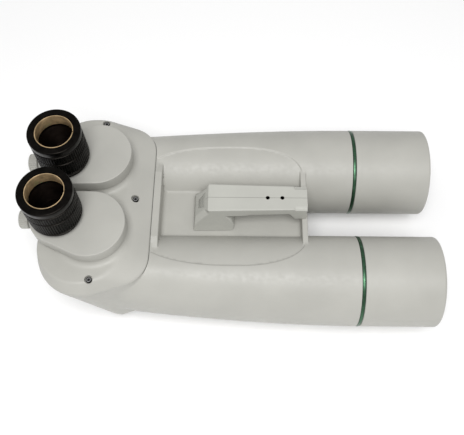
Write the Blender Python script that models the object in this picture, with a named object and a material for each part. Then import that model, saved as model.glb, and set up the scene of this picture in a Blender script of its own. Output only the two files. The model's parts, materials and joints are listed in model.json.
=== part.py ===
"""Ninety-degree binocular telescope of the 70 mm class, built as separate pieces.

The optical frame has its origin on the front rim plane, midway between the two tube axes.
+Y points out of the objectives, +X to the observer's right and +Z up to the eyepiece holders.
The empty called optical_frame places it in the row frame, whose origin lies below the middle
of the instrument, on the surface that the tripod foot stands on.
"""

import math

import bmesh
import bpy
from mathutils import Matrix

MM = 0.001
GAP = 0.3 * MM

# Row frame
RIM_Y = 190.0 * MM
TUBE_AXIS_Z = 49.0 * MM

# Barrels: round at the front, tapering towards the head below and on the outer side
TUBE_X = 59.65 * MM
TUBE_RADIUS = 42.4 * MM
TUBE_WALL = 3.2 * MM
TUBE_BACK_Y = -300.0 * MM
TAPER_START_Y = -80.0 * MM
TAPER_END_Y = -300.0 * MM
TAPER_WIDTH = 14.4 * MM
TAPER_BELOW = 10.4 * MM
TAPER_POWER = 1.75
CELL_SEAT_RADIUS = 39.0 * MM
CELL_SEAT_Y = -100.0 * MM

# Accent ring and dew shield
RING_BACK_Y = -74.8 * MM
RING_FRONT_Y = -71.8 * MM
RING_RADIUS = 42.6 * MM
SHIELD_RADIUS = 42.45 * MM
SHIELD_BORE = 39.6 * MM

# Objective
CELL_BACK_Y = -97.0 * MM
CELL_FRONT_Y = -64.0 * MM
CELL_RADIUS = 38.7 * MM
LENS_RADIUS = 35.0 * MM
PRISM_HALF = 11.7 * MM

# Head: two pairs of circles give its outline, and the floor circles sit further forward
CORNER_X, CORNER_Y, CORNER_RADIUS = 55.0 * MM, -294.0 * MM, 28.0 * MM
LOBE_X, LOBE_Y, LOBE_RADIUS = 50.5 * MM, -324.0 * MM, 42.0 * MM
FLOOR_Y, FLOOR_RADIUS, FLOOR_Z = -296.0 * MM, 28.0 * MM, -32.5 * MM
HEAD_WALL = 3.5 * MM
HEAD_TOP_Z = 39.7 * MM
COVER_EDGE_Z = 43.0 * MM
PEDESTAL_X, PEDESTAL_Y, PEDESTAL_RADIUS = 46.5 * MM, -326.0 * MM, 38.6 * MM
PEDESTAL_Z = 53.5 * MM
COVER_PLATE = 3.5 * MM
BRIDGE_FRONT_Y = -259.0 * MM
BRIDGE_TOP_Z = 42.1 * MM

# Web between the barrels
WEB_TOP_Z = 21.0 * MM
WEB_BOTTOM_Z = 13.0 * MM
WALL_FRONT_Y = -121.0 * MM
WALL_BACK_Y = -126.3 * MM
WALL_TOP_Z = 36.3 * MM

# Turrets: each eyepiece axis lies EYEPIECE_OFFSET from its turret's axis
TURRET_X, TURRET_Y = 35.5 * MM, -316.0 * MM
EYEPIECE_OFFSET = 28.8 * MM
TURRET_SWING = math.radians(13.2)
TURRET_RADIUS = 31.5 * MM
TURRET_TIP_RADIUS = 25.5 * MM
TURRET_BOTTOM_Z = 58.5 * MM
TURRET_TOP_Z = 72.0 * MM
NECK_RADIUS = 27.6 * MM
NECK_BORE = 24.0 * MM
NECK_BOTTOM_Z = 43.0 * MM
COLLAR_RADIUS = 32.3 * MM
COLLAR_FOOT_RADIUS = 34.6 * MM

# Eyepiece holders, for eyepieces with a 31.75 mm barrel
HOLDER_RADIUS = 23.26 * MM
SOCKET_RADIUS = 15.98 * MM
HOLDER_TOP_Z = 117.5 * MM
FOCUS_RING_BOTTOM_Z = 76.3 * MM
FOCUS_RING_TOP_Z = 98.7 * MM
CLAMP_BOTTOM_Z = 99.0 * MM
DRAW_TUBE_RADIUS = 18.9 * MM

# Turret gears
GEAR_TEETH = 48
GEAR_SECTOR_TEETH = 9
GEAR_TIP = 36.8 * MM
GEAR_ROOT = 33.6 * MM

# Lock knobs
KNOB_Z = 64.5 * MM
KNOB_RADIUS = 8.5 * MM
KNOB_NEAR = 26.2 * MM
KNOB_FAR = 36.0 * MM

# Handle
HANDLE_TOP_Z = 54.5 * MM
HANDLE_FRONT_Y = -122.5 * MM
HANDLE_REAR_Y = -213.5 * MM
SLOPE_FOOT_Y, SLOPE_FOOT_Z = -226.1 * MM, 37.0 * MM
HANDLE_OUTLINE = [
    (HANDLE_REAR_Y, HANDLE_TOP_Z), (HANDLE_FRONT_Y, HANDLE_TOP_Z), (HANDLE_FRONT_Y, WALL_TOP_Z + GAP),
    (-133 * MM, WALL_TOP_Z + GAP), (-139 * MM, 45.5 * MM), (-197 * MM, 43 * MM), (-192 * MM, 36 * MM),
    (-189.6 * MM, 29 * MM), (-190.6 * MM, WEB_TOP_Z + GAP), (-228.3 * MM, WEB_TOP_Z + GAP),
    (SLOPE_FOOT_Y, SLOPE_FOOT_Z),
]
HANDLE_CHAMFER = 4.5 * MM
HANDLE_SCREW_X, HANDLE_SCREW_Y = 7.5 * MM, -210 * MM
SCREW_SEAT_Z = WEB_BOTTOM_Z + 3 * MM
CROSS_SCREWS = {"rear": (-204 * MM, 38 * MM), "front": (-131 * MM, 47 * MM)}
SIGHT_HOLE_YS = (-158.8 * MM, -145.4 * MM)
WINDOW_CENTRE = (-219.3 * MM, 46.4 * MM)

# Tripod foot
FOOT_BACK_Y, FOOT_FRONT_Y = -245.0 * MM, -145.0 * MM
FOOT_HALF_WIDTH = 30.0 * MM
STEM_HALF_WIDTH = 13.0 * MM
SOCKET_Y = -195.0 * MM
FOOT_SCREW_YS = {"front": -160.0 * MM, "rear": -230.0 * MM}

# Cover screws: place, height of the seat in the cover and foot of the boss in the casting
COVER_SCREWS = {
    "left": (-81.0 * MM, -315.0 * MM, 50.2 * MM, -10.0 * MM),
    "right": (81.0 * MM, -315.0 * MM, 50.2 * MM, -10.0 * MM),
    "middle": (0.0, -281.0 * MM, 47.2 * MM, -30.0 * MM),
}
SIDES = {"left": -1, "right": 1}
FINE, COARSE = 28, 16


# ---------------------------------------------------------------- helpers

def clear_scene():
    for obj in list(bpy.data.objects):
        bpy.data.objects.remove(obj, do_unlink=True)


def material(name, color, roughness, metallic=0.0, transmission=0.0):
    mat = bpy.data.materials.new(name)
    mat.use_nodes = True
    shader = mat.node_tree.nodes["Principled BSDF"]
    shader.inputs["Base Color"].default_value = (*color, 1.0)
    shader.inputs["Roughness"].default_value = roughness
    shader.inputs["Metallic"].default_value = metallic
    shader.inputs["Transmission Weight"].default_value = transmission
    mat.diffuse_color = (*color, 1.0)
    return mat


def empty(name, location, rotation_z=0.0, parent=None):
    obj = bpy.data.objects.new(name, None)
    obj.location = location
    obj.rotation_euler = (0.0, 0.0, rotation_z)
    obj.parent = parent
    bpy.context.scene.collection.objects.link(obj)
    return obj


def finish_mesh(bm, name, mat=None, location=(0, 0, 0), rotation=(0, 0, 0), parent=None):
    """Turns a bmesh into a named object with smooth round faces and crisp edges."""
    bmesh.ops.recalc_face_normals(bm, faces=bm.faces)
    mesh = bpy.data.meshes.new(name)
    bm.to_mesh(mesh)
    bm.free()
    mesh.shade_smooth()
    mesh.set_sharp_from_angle(angle=math.radians(30))
    obj = bpy.data.objects.new(name, mesh)
    obj.location = location
    obj.rotation_euler = rotation
    obj.parent = parent or OPTICAL_FRAME
    if mat:
        mesh.materials.append(mat)
    bpy.context.scene.collection.objects.link(obj)
    return obj


def spin_profile(profile, segments=COARSE):
    """Turns a closed (radius, height) outline about the Z axis."""
    bm = bmesh.new()
    verts = [bm.verts.new((radius, 0.0, height)) for radius, height in profile]
    edges = [bm.edges.new((a, b)) for a, b in zip(verts, verts[1:] + verts[:1])]
    bmesh.ops.spin(
        bm, geom=verts + edges, cent=(0, 0, 0), axis=(0, 0, 1),
        angle=2 * math.pi, steps=segments, use_merge=True,
    )
    bmesh.ops.remove_doubles(bm, verts=bm.verts, dist=1e-6)
    return bm


def ring_profile(inner, outer, low, high):
    return [(inner, low), (outer, low), (outer, high), (inner, high)]


def disc(x, y, z, radius, segments=FINE):
    """Points of a level circle."""
    turns = [2 * math.pi * i / segments for i in range(segments)]
    return [(x + radius * math.cos(t), y + radius * math.sin(t), z) for t in turns]


def pair(x, y, z, radius, segments=FINE):
    """Points of two level circles, mirrored about the middle plane."""
    return disc(-x, y, z, radius, segments) + disc(x, y, z, radius, segments)


def hull(points):
    bm = bmesh.new()
    verts = [bm.verts.new(p) for p in points]
    found = bmesh.ops.convex_hull(bm, input=verts)
    spare = {v for v in found["geom_interior"] + found["geom_unused"] if isinstance(v, bmesh.types.BMVert)}
    bmesh.ops.delete(bm, geom=list(spare), context="VERTS")
    bmesh.ops.dissolve_limit(bm, angle_limit=math.radians(0.2), verts=bm.verts, edges=bm.edges)
    return bm


def loft(rings):
    """Skins rings of equally many points and caps both ends."""
    bm = bmesh.new()
    loops = [[bm.verts.new(p) for p in ring] for ring in rings]
    for near, far in zip(loops, loops[1:]):
        for i in range(len(near)):
            j = (i + 1) % len(near)
            bm.faces.new((near[i], near[j], far[j], far[i]))
    bm.faces.new(loops[0])
    bm.faces.new(loops[-1])
    return bm


def box(x_range, y_range, z_range):
    bm = bmesh.new()
    bmesh.ops.create_cube(bm, size=1.0)
    for vert in bm.verts:
        for axis, (low, high) in enumerate((x_range, y_range, z_range)):
            vert.co[axis] = low if vert.co[axis] < 0 else high
    return bm


def prism(outline, low, high, place):
    """A flat outline raised from low to high; place turns (a, b, height) into a point."""
    return loft([[place(a, b, level) for a, b in outline] for level in (low, high)])


def combine(obj, other, operation):
    """Adds a Boolean with a helper solid, which stays out of renders."""
    other.hide_render = True
    other.display_type = "WIRE"
    modifier = obj.modifiers.new(f"{operation.lower()}_{other.name}", "BOOLEAN")
    modifier.operation = operation
    modifier.solver = "EXACT"
    modifier.object = other


def add(obj, bm, name, **place):
    combine(obj, finish_mesh(bm, name, **place), "UNION")


def cut(obj, bm, name, **place):
    combine(obj, finish_mesh(bm, name, **place), "DIFFERENCE")


def rod(x, y, low, high, radius, segments=16):
    """An upright cylinder."""
    return loft([disc(x, y, low, radius, segments), disc(x, y, high, radius, segments)])


# ---------------------------------------------------------------- barrels and head

def taper(y, amount):
    share = max(0.0, (TAPER_START_Y - y) / (TAPER_START_Y - TAPER_END_Y))
    return amount * share ** TAPER_POWER


def barrel_ring(side, y, inset, segments=FINE):
    """Outline of one barrel at y: straight on top and inside, shrinking below and outside."""
    outward = TUBE_RADIUS - taper(y, TAPER_WIDTH) - inset
    below = TUBE_RADIUS - taper(y, TAPER_BELOW) - inset
    straight = TUBE_RADIUS - inset
    if inset:
        outward, below, straight = (min(v, CELL_SEAT_RADIUS) for v in (outward, below, straight))
    points = []
    for i in range(segments):
        turn = 2 * math.pi * i / segments
        width = outward if side * math.cos(turn) > 0 else straight
        height = straight if math.sin(turn) > 0 else below
        points.append((side * TUBE_X + width * math.cos(turn), y, height * math.sin(turn)))
    return points


def barrel(side, inset, back_y, front_y, steps=9):
    span = CELL_SEAT_Y - back_y
    stations = [back_y + span * i / (steps - 1) for i in range(steps)] + [front_y]
    return loft([barrel_ring(side, y, inset) for y in stations])


def head_outline(z, inset=0.0):
    return (pair(CORNER_X, CORNER_Y, z, CORNER_RADIUS - inset)
            + pair(LOBE_X, LOBE_Y, z, LOBE_RADIUS - inset))


def head_body(inset, top, floor):
    return hull(head_outline(top, inset) + pair(TUBE_X, FLOOR_Y, floor, FLOOR_RADIUS - inset))


def make_body():
    body = finish_mesh(head_body(0.0, HEAD_TOP_Z, FLOOR_Z), "body_casting", PAINT)
    add(body, box((-50 * MM, 50 * MM), (-285 * MM, BRIDGE_FRONT_Y), (4.3 * MM, BRIDGE_TOP_Z)), "bridge")
    add(body, box((-44 * MM, 44 * MM), (-270 * MM, -123 * MM), (WEB_BOTTOM_Z, WEB_TOP_Z)), "web")
    add(body, box((-40 * MM, 40 * MM), (WALL_BACK_Y, WALL_FRONT_Y), (WEB_BOTTOM_Z + GAP, WALL_TOP_Z)), "wall")
    for label, side in SIDES.items():
        add(body, barrel(side, 0.0, TUBE_BACK_Y, RING_BACK_Y - GAP), f"barrel_{label}")
    for label, side in SIDES.items():
        cut(body, barrel(side, TUBE_WALL, TUBE_BACK_Y - 8 * MM, RING_FRONT_Y + 10 * MM), f"bore_{label}")
    cut(body, head_body(HEAD_WALL, HEAD_TOP_Z + 5 * MM, FLOOR_Z + HEAD_WALL), "head_cavity")
    cut(body, hull(head_outline(HEAD_TOP_Z, -GAP) + head_outline(60 * MM, -GAP)), "cover_seat")
    for label, (x, y, _, boss_foot) in COVER_SCREWS.items():
        add(body, rod(x, y, boss_foot, HEAD_TOP_Z, 4.5 * MM), f"boss_{label}")
        cut(body, rod(x, y, 26 * MM, 45 * MM, 1.8 * MM, 12), f"boss_hole_{label}")
    for label, y in FOOT_SCREW_YS.items():
        cut(body, rod(0.0, y, 0.0, WEB_TOP_Z - 2 * MM, 2.8 * MM, 12), f"web_hole_{label}")
    for label, side in SIDES.items():
        x = side * HANDLE_SCREW_X
        cut(body, rod(x, HANDLE_SCREW_Y, 0.0, WEB_TOP_Z + 3 * MM, 1.9 * MM, 12), f"web_clearance_{label}")
        cut(body, rod(x, HANDLE_SCREW_Y, 0.0, SCREW_SEAT_Z, 3.4 * MM, 12), f"web_counterbore_{label}")
    return body


def make_cover():
    outer = head_outline(HEAD_TOP_Z + GAP) + head_outline(COVER_EDGE_Z)
    pedestal = pair(PEDESTAL_X, PEDESTAL_Y, PEDESTAL_Z, PEDESTAL_RADIUS)
    cover = finish_mesh(hull(outer + pedestal), "head_cover", PAINT)
    for label, side in SIDES.items():
        foot = disc(side * TURRET_X, TURRET_Y, PEDESTAL_Z - MM, COLLAR_FOOT_RADIUS)
        top = disc(side * TURRET_X, TURRET_Y, TURRET_BOTTOM_Z - GAP, COLLAR_RADIUS)
        add(cover, hull(foot + top), f"collar_{label}")
    inner_edge = head_outline(35 * MM, HEAD_WALL) + head_outline(COVER_EDGE_Z - 2 * MM, HEAD_WALL)
    inner_top = pair(PEDESTAL_X, PEDESTAL_Y, PEDESTAL_Z - COVER_PLATE, PEDESTAL_RADIUS - 4 * MM)
    cut(cover, hull(inner_edge + inner_top), "cover_cavity")
    for label, side in SIDES.items():
        x = side * TURRET_X
        cut(cover, rod(x, TURRET_Y, 38 * MM, 50 * MM, NECK_RADIUS + 4 * MM, FINE), f"bearing_pocket_{label}")
        cut(cover, rod(x, TURRET_Y, 38.5 * MM, 47.3 * MM, GEAR_ROOT + 0.6 * MM, FINE), f"gear_pocket_{label}")
        cut(cover, rod(x, TURRET_Y, 30 * MM, 70 * MM, NECK_RADIUS + 0.4 * MM, FINE), f"neck_hole_{label}")
    for label, (x, y, seat, _) in COVER_SCREWS.items():
        add(cover, rod(x, y, HEAD_TOP_Z + GAP, seat + MM, 4.6 * MM), f"cover_boss_{label}")
        cut(cover, rod(x, y, 30 * MM, 60 * MM, 1.8 * MM, 12), f"cover_hole_{label}")
        cut(cover, rod(x, y, seat, 65 * MM, 3.7 * MM), f"cover_counterbore_{label}")
    return cover


def socket_screw(name, head_radius, head_height, shank_radius, shank_length, **place):
    """A cap screw with its seat at the origin, its head above and a hexagon socket in it."""
    profile = [
        (0.0, -shank_length), (shank_radius, -shank_length), (shank_radius, 0.0),
        (head_radius, 0.0), (head_radius, head_height), (0.0, head_height),
    ]
    screw = finish_mesh(spin_profile(profile, 12), name, BLACK_STEEL, **place)
    socket = rod(0.0, 0.0, head_height * 0.45, head_height * 1.5, head_radius * 0.5, 6)
    cut(screw, socket, f"{name}_socket", **place)
    return screw


def make_cover_screws():
    for label, (x, y, seat, _) in COVER_SCREWS.items():
        socket_screw(f"cover_screw_{label}", 3.2 * MM, 2.6 * MM, 1.5 * MM, 18 * MM,
                     location=(x, y, seat + GAP))


# ---------------------------------------------------------------- objectives

def along_tube(side):
    """Placement that lays a turned piece's axis along a tube, its heights becoming Y."""
    return {"location": (side * TUBE_X, 0, 0), "rotation": (-math.pi / 2, 0, 0)}


def lens_profile(back_y, front_y, back_bulge, front_bulge, radius=LENS_RADIUS, steps=3):
    """Outline of a lens: two shallow arcs and a cylindrical edge."""
    rise = [(radius * i / steps, (i / steps) ** 2) for i in range(steps + 1)]
    back = [(r, back_y - back_bulge * (1 - share)) for r, share in rise]
    front = [(r, front_y + front_bulge * (1 - share)) for r, share in reversed(rise)]
    return back + front


def make_objective(label, side):
    place = along_tube(side)
    ring = ring_profile(CELL_RADIUS + GAP, RING_RADIUS, RING_BACK_Y, RING_FRONT_Y)
    finish_mesh(spin_profile(ring, FINE), f"green_ring_{label}", GREEN, **place)

    back = RING_FRONT_Y + GAP
    shield = [
        (CELL_RADIUS + GAP, back), (SHIELD_RADIUS, back), (SHIELD_RADIUS, -0.8 * MM),
        (SHIELD_RADIUS - 0.8 * MM, 0.0), (SHIELD_RADIUS - 2.0 * MM, 0.0),
        (SHIELD_BORE, -1.5 * MM), (SHIELD_BORE, CELL_FRONT_Y + MM), (CELL_RADIUS + GAP, CELL_FRONT_Y + MM),
    ]
    finish_mesh(spin_profile(shield, FINE), f"dew_shield_{label}", PAINT, **place)

    shoulder = CELL_BACK_Y + 3 * MM
    bore = LENS_RADIUS + GAP
    cell = [
        (LENS_RADIUS - 1.5 * MM, CELL_BACK_Y), (CELL_RADIUS, CELL_BACK_Y), (CELL_RADIUS, CELL_FRONT_Y),
        (bore, CELL_FRONT_Y), (bore, shoulder), (LENS_RADIUS - 1.5 * MM, shoulder),
    ]
    finish_mesh(spin_profile(cell, FINE), f"objective_cell_{label}", BLACK_METAL, **place)

    flint_back = shoulder + GAP
    flint = lens_profile(flint_back, flint_back + 6 * MM, 0.0, -1.8 * MM)
    finish_mesh(spin_profile(flint), f"objective_flint_{label}", GLASS, **place)
    spacer_back = flint_back + 6.2 * MM
    spacer = ring_profile(LENS_RADIUS - 1.6 * MM, LENS_RADIUS, spacer_back, spacer_back + MM)
    finish_mesh(spin_profile(spacer), f"lens_spacer_{label}", BLACK_METAL, **place)
    crown_back = spacer_back + MM + 0.3 * MM
    crown_front = crown_back + 5 * MM
    crown = lens_profile(crown_back, crown_front, -0.6 * MM, 2.4 * MM)
    finish_mesh(spin_profile(crown), f"objective_crown_{label}", GLASS, **place)
    keeper = ring_profile(LENS_RADIUS - 1.5 * MM, LENS_RADIUS, crown_front + GAP, crown_front + 4 * MM)
    finish_mesh(spin_profile(keeper), f"retaining_ring_{label}", BLACK_METAL, **place)

    baffle = ring_profile(30 * MM, 37.7 * MM, -126 * MM, -124.4 * MM)
    finish_mesh(spin_profile(baffle), f"baffle_{label}", BLACK_METAL, **place)


# ---------------------------------------------------------------- prisms

def make_prisms(label, side):
    """One prism turns the light inwards, the next turns it up the turret's axis."""
    h = PRISM_HALF
    turning = [(-h, -h), (h, h), (-h, h)]
    finish_mesh(
        prism(turning, -h, h, lambda a, b, level: (side * a, b, level)),
        f"turning_prism_{label}", GLASS, location=(side * TUBE_X, TURRET_Y, 0),
    )
    lifting = [(h, -h), (h, h), (-h, h)]
    finish_mesh(
        prism(lifting, -h, h, lambda a, b, level: (side * a, level, b)),
        f"lifting_prism_{label}", GLASS, location=(side * TURRET_X, TURRET_Y, 0),
    )
    middle = side * (TUBE_X + TURRET_X) / 2
    plate = finish_mesh(
        box((-22 * MM, 22 * MM), (-8 * MM, 14 * MM), (-15 * MM, -h - GAP)),
        f"prism_bracket_{label}", ALUMINIUM, location=(middle, TURRET_Y, 0),
    )
    leg = box((4 * MM, 16 * MM), (-1 * MM, 13 * MM), (FLOOR_Z + HEAD_WALL + GAP, -15 * MM))
    if side < 0:
        bmesh.ops.transform(leg, matrix=Matrix.Scale(-1, 4, (1, 0, 0)), verts=leg.verts)
    add(plate, leg, f"bracket_leg_{label}", location=(middle, TURRET_Y, 0))


# ---------------------------------------------------------------- turrets

def teardrop(z, inset=0.0):
    """Outline of a turret in its own frame, the eyepiece end pointing along -Y."""
    return (disc(0, 0, z, TURRET_RADIUS - inset, FINE)
            + disc(0, -EYEPIECE_OFFSET, z, TURRET_TIP_RADIUS - inset, FINE))


def make_turret(label, side, pivot):
    swing = side * TURRET_SWING
    top_edge = 0.8 * MM
    shape = teardrop(TURRET_BOTTOM_Z) + teardrop(TURRET_TOP_Z - top_edge) + teardrop(TURRET_TOP_Z, top_edge)
    turret = finish_mesh(hull(shape), f"turret_housing_{label}", PAINT, parent=pivot)
    add(turret, rod(0, 0, NECK_BOTTOM_Z, TURRET_BOTTOM_Z + 2 * MM, NECK_RADIUS, FINE),
        f"neck_{label}", parent=pivot)
    cavity = []
    for z in (60.0 * MM, 70.3 * MM):
        cavity += disc(0, 0, z, 26 * MM, FINE) + disc(0, -EYEPIECE_OFFSET, z, 22 * MM, FINE)
    cut(turret, hull(cavity), f"turret_cavity_{label}", parent=pivot)
    cut(turret, rod(0, 0, 40 * MM, 61 * MM, NECK_BORE, FINE), f"neck_bore_{label}", parent=pivot)
    cut(turret, rod(0, -EYEPIECE_OFFSET, 68 * MM, 75 * MM, SOCKET_RADIUS - MM), f"light_hole_{label}",
        parent=pivot)
    at_holder = {"location": (0, -EYEPIECE_OFFSET, KNOB_Z), "rotation": (math.pi / 2, 0, swing), "parent": pivot}
    cut(turret, rod(0, 0, 15 * MM, 30 * MM, 2.3 * MM), f"stud_hole_{label}", **at_holder)

    bearing = ring_profile(NECK_RADIUS + GAP, NECK_RADIUS + 3.4 * MM, 47.2 * MM, 49.7 * MM)
    finish_mesh(spin_profile(bearing, FINE), f"turret_bearing_{label}", ALUMINIUM, parent=pivot)
    make_gear(label, side, pivot, swing)

    height = 5.0 * MM
    middle = 65.2 * MM
    rhomb = [
        (height, middle - height), (-height, middle + height),
        (-EYEPIECE_OFFSET - height, middle + height), (-EYEPIECE_OFFSET + height, middle - height),
    ]
    finish_mesh(
        prism(rhomb, -9 * MM, 9 * MM, lambda a, b, level: (level, a, b)),
        f"rhomboid_prism_{label}", GLASS, parent=pivot,
    )

    knob_edge = 3.6 * MM
    knob = [
        (0.0, 24 * MM), (2.0 * MM, 24 * MM), (2.0 * MM, KNOB_NEAR), (KNOB_RADIUS, KNOB_NEAR),
        (KNOB_RADIUS, KNOB_FAR - knob_edge), (KNOB_RADIUS - 0.8 * knob_edge, KNOB_FAR), (0.0, KNOB_FAR),
    ]
    finish_mesh(spin_profile(knob, 24), f"lock_knob_{label}", PAINT, **at_holder)


def make_gear(label, side, pivot, swing):
    """A ring under the cover whose toothed sector meshes with the other turret's."""
    pitch = 2 * math.pi / GEAR_TEETH
    facing = math.pi if side > 0 else 0.0
    phase = 0.5 if side > 0 else 0.0
    thickness = 0.40 * pitch * TURRET_X
    flank = math.tan(math.radians(20))
    outline = []
    half = GEAR_SECTOR_TEETH // 2
    for k in range(-half, half + 1):
        centre = facing + (k + phase) * pitch
        for radius, direction in ((GEAR_ROOT, -1), (GEAR_TIP, -1), (GEAR_TIP, 1), (GEAR_ROOT, 1)):
            width = thickness / 2 + (TURRET_X - radius) * flank
            turn = centre + direction * width / radius
            outline.append((radius * math.cos(turn), radius * math.sin(turn)))
    last = facing + (half + phase) * pitch
    rest = 2 * math.pi - 2 * half * pitch
    plain = 24
    for i in range(1, plain):
        turn = last + pitch / 2 + (rest - pitch) * i / plain
        outline.append((GEAR_ROOT * math.cos(turn), GEAR_ROOT * math.sin(turn)))
    gear = finish_mesh(
        prism(outline, 43.2 * MM, 46.9 * MM, lambda a, b, level: (a, b, level)),
        f"turret_gear_{label}", BRASS, rotation=(0, 0, swing), parent=pivot,
    )
    cut(gear, rod(0, 0, 40 * MM, 50 * MM, NECK_RADIUS + GAP, FINE), f"gear_bore_{label}", parent=pivot)


# ---------------------------------------------------------------- eyepiece holders

def make_holder(label, pivot):
    place = {"location": (0, -EYEPIECE_OFFSET, 0), "parent": pivot}
    base = ring_profile(DRAW_TUBE_RADIUS + 0.4 * MM, HOLDER_RADIUS - 0.3 * MM,
                        TURRET_TOP_Z + GAP, FOCUS_RING_BOTTOM_Z - GAP)
    finish_mesh(spin_profile(base, FINE), f"focuser_base_{label}", BLACK_METAL, **place)

    ring = ring_profile(DRAW_TUBE_RADIUS + 0.4 * MM, HOLDER_RADIUS, FOCUS_RING_BOTTOM_Z, FOCUS_RING_TOP_Z)
    finish_mesh(spin_profile(ring, FINE), f"focus_ring_{label}", BLACK_METAL, **place)

    pocket, pocket_z = SOCKET_RADIUS + 1.55 * MM, 102.6 * MM
    tube_top = HOLDER_TOP_Z - 2.3 * MM
    tube = [
        (SOCKET_RADIUS, TURRET_TOP_Z + 2 * GAP), (DRAW_TUBE_RADIUS, TURRET_TOP_Z + 2 * GAP),
        (DRAW_TUBE_RADIUS, tube_top), (pocket, tube_top), (pocket, pocket_z), (SOCKET_RADIUS, pocket_z),
    ]
    finish_mesh(spin_profile(tube, FINE), f"draw_tube_{label}", BLACK_METAL, **place)

    bore = DRAW_TUBE_RADIUS + GAP
    clamp = [
        (bore, CLAMP_BOTTOM_Z), (HOLDER_RADIUS, CLAMP_BOTTOM_Z), (HOLDER_RADIUS, HOLDER_TOP_Z - 1.8 * MM),
        (HOLDER_RADIUS - 1.6 * MM, HOLDER_TOP_Z), (pocket, HOLDER_TOP_Z), (pocket, tube_top + GAP),
        (bore, tube_top + GAP),
    ]
    finish_mesh(spin_profile(clamp, FINE), f"clamp_ring_{label}", BLACK_METAL, **place)

    liner = ring_profile(SOCKET_RADIUS, pocket - GAP, pocket_z + GAP, HOLDER_TOP_Z - GAP)
    brass = finish_mesh(spin_profile(liner, FINE), f"brass_ring_{label}", BRASS, **place)
    slit = box((-0.5 * MM, 0.5 * MM), (10 * MM, 20 * MM), (100 * MM, 120 * MM))
    cut(brass, slit, f"brass_slit_{label}", **place)


# ---------------------------------------------------------------- handle

def handle_half_width(y, z):
    """Wider at the rear and at the foot than at the front of the grip."""
    along = (y - HANDLE_REAR_Y) / (HANDLE_FRONT_Y - HANDLE_REAR_Y)
    down = max(0.0, (HANDLE_TOP_Z - z) / (HANDLE_TOP_Z - WEB_TOP_Z))
    return (14.1 - 2.1 * max(0.0, along) + 4.5 * down ** 2 * (along < 0.4)) * MM


def window_slab(half_width, half_length, low, high):
    """A slab lying in the sloping rear face of the handle."""
    slab = box((-half_width, half_width), (-half_length, half_length), (low, high))
    rise = HANDLE_TOP_Z - SLOPE_FOOT_Z
    run = HANDLE_REAR_Y - SLOPE_FOOT_Y
    slope = Matrix.Rotation(math.atan2(rise, run), 4, "X")
    bmesh.ops.transform(slab, matrix=slope, verts=slab.verts)
    return slab


def make_handle():
    across = {"rotation": (0, -math.pi / 2, 0)}
    for label, side in SIDES.items():
        chamfered = [(y + HANDLE_CHAMFER * (y <= HANDLE_REAR_Y), z) for y, z in HANDLE_OUTLINE]
        rings = [
            [(side * GAP / 2, y, z) for y, z in HANDLE_OUTLINE],
            [(side * (handle_half_width(y, z) - HANDLE_CHAMFER), y, z) for y, z in HANDLE_OUTLINE],
            [(side * handle_half_width(y, z), y, z) for y, z in chamfered],
        ]
        shell = finish_mesh(loft(rings), f"handle_{label}", PLASTIC)
        for index, y in enumerate(SIGHT_HOLE_YS):
            cut(shell, rod(0, y, 47 * MM, 60 * MM, 1.9 * MM), f"sight_hole_{label}_{index}")
        cut(shell, rod(side * HANDLE_SCREW_X, HANDLE_SCREW_Y, 0.0, 33 * MM, 1.9 * MM, 12), f"foot_hole_{label}")
        for end, (y, z) in CROSS_SCREWS.items():
            cut(shell, rod(0, 0, -10.5 * MM, 30 * MM, 1.8 * MM, 12), f"cross_hole_{label}_{end}",
                location=(0, y, z), **across)
            cut(shell, rod(0, 0, 8.5 * MM, 30 * MM, 3.3 * MM, 16), f"cross_seat_{label}_{end}",
                location=(0, y, z), **across)
        window_place = {"location": (0, *WINDOW_CENTRE)}
        cut(shell, window_slab(7.1 * MM, 5.1 * MM, -2.4 * MM, 5 * MM), f"window_pocket_{label}", **window_place)
    finish_mesh(window_slab(6.7 * MM, 4.7 * MM, -2.1 * MM, -0.5 * MM), "sight_window", DARK_PLASTIC,
                location=(0, *WINDOW_CENTRE))
    for end, (y, z) in CROSS_SCREWS.items():
        socket_screw(f"handle_cross_screw_{end}", 2.8 * MM, 2.2 * MM, 1.4 * MM, 18.5 * MM,
                     location=(-8.5 * MM - GAP, y, z), **across)
    for label, side in SIDES.items():
        socket_screw(f"handle_foot_screw_{label}", 3.0 * MM, 2.4 * MM, 1.5 * MM, 15 * MM,
                     location=(side * HANDLE_SCREW_X, HANDLE_SCREW_Y, SCREW_SEAT_Z - GAP), rotation=(math.pi, 0, 0))


# ---------------------------------------------------------------- tripod foot

def make_foot():
    sole = -TUBE_AXIS_Z
    flange_top = sole + 6 * MM
    foot = finish_mesh(
        box((-FOOT_HALF_WIDTH, FOOT_HALF_WIDTH), (FOOT_BACK_Y, FOOT_FRONT_Y), (sole, flange_top)),
        "tripod_foot", PAINT,
    )
    stem_y = (FOOT_BACK_Y + 4 * MM, FOOT_FRONT_Y - 4 * MM)
    stem = box((-STEM_HALF_WIDTH, STEM_HALF_WIDTH), stem_y, (flange_top - MM, WEB_BOTTOM_Z - GAP))
    add(foot, stem, "foot_stem")
    for label, y in FOOT_SCREW_YS.items():
        cut(foot, rod(0, y, sole - MM, WEB_TOP_Z, 2.8 * MM, 12), f"foot_hole_{label}")
        cut(foot, rod(0, y, sole - 2 * MM, sole + 5.5 * MM, 4.6 * MM), f"foot_counterbore_{label}")
        socket_screw(f"foot_screw_{label}", 4.2 * MM, 4.0 * MM, 2.4 * MM, 61 * MM,
                     location=(0, y, sole + 5.5 * MM - GAP), rotation=(math.pi, 0, 0))
    cut(foot, rod(0, SOCKET_Y, sole - MM, sole + 16 * MM, 6.3 * MM), "insert_seat")
    insert = ring_profile(4.76 * MM, 6.0 * MM, sole + 0.5 * MM, sole + 15.5 * MM)
    finish_mesh(spin_profile(insert, 24), "thread_insert", STEEL, location=(0, SOCKET_Y, 0))


# ---------------------------------------------------------------- assembly

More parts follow.
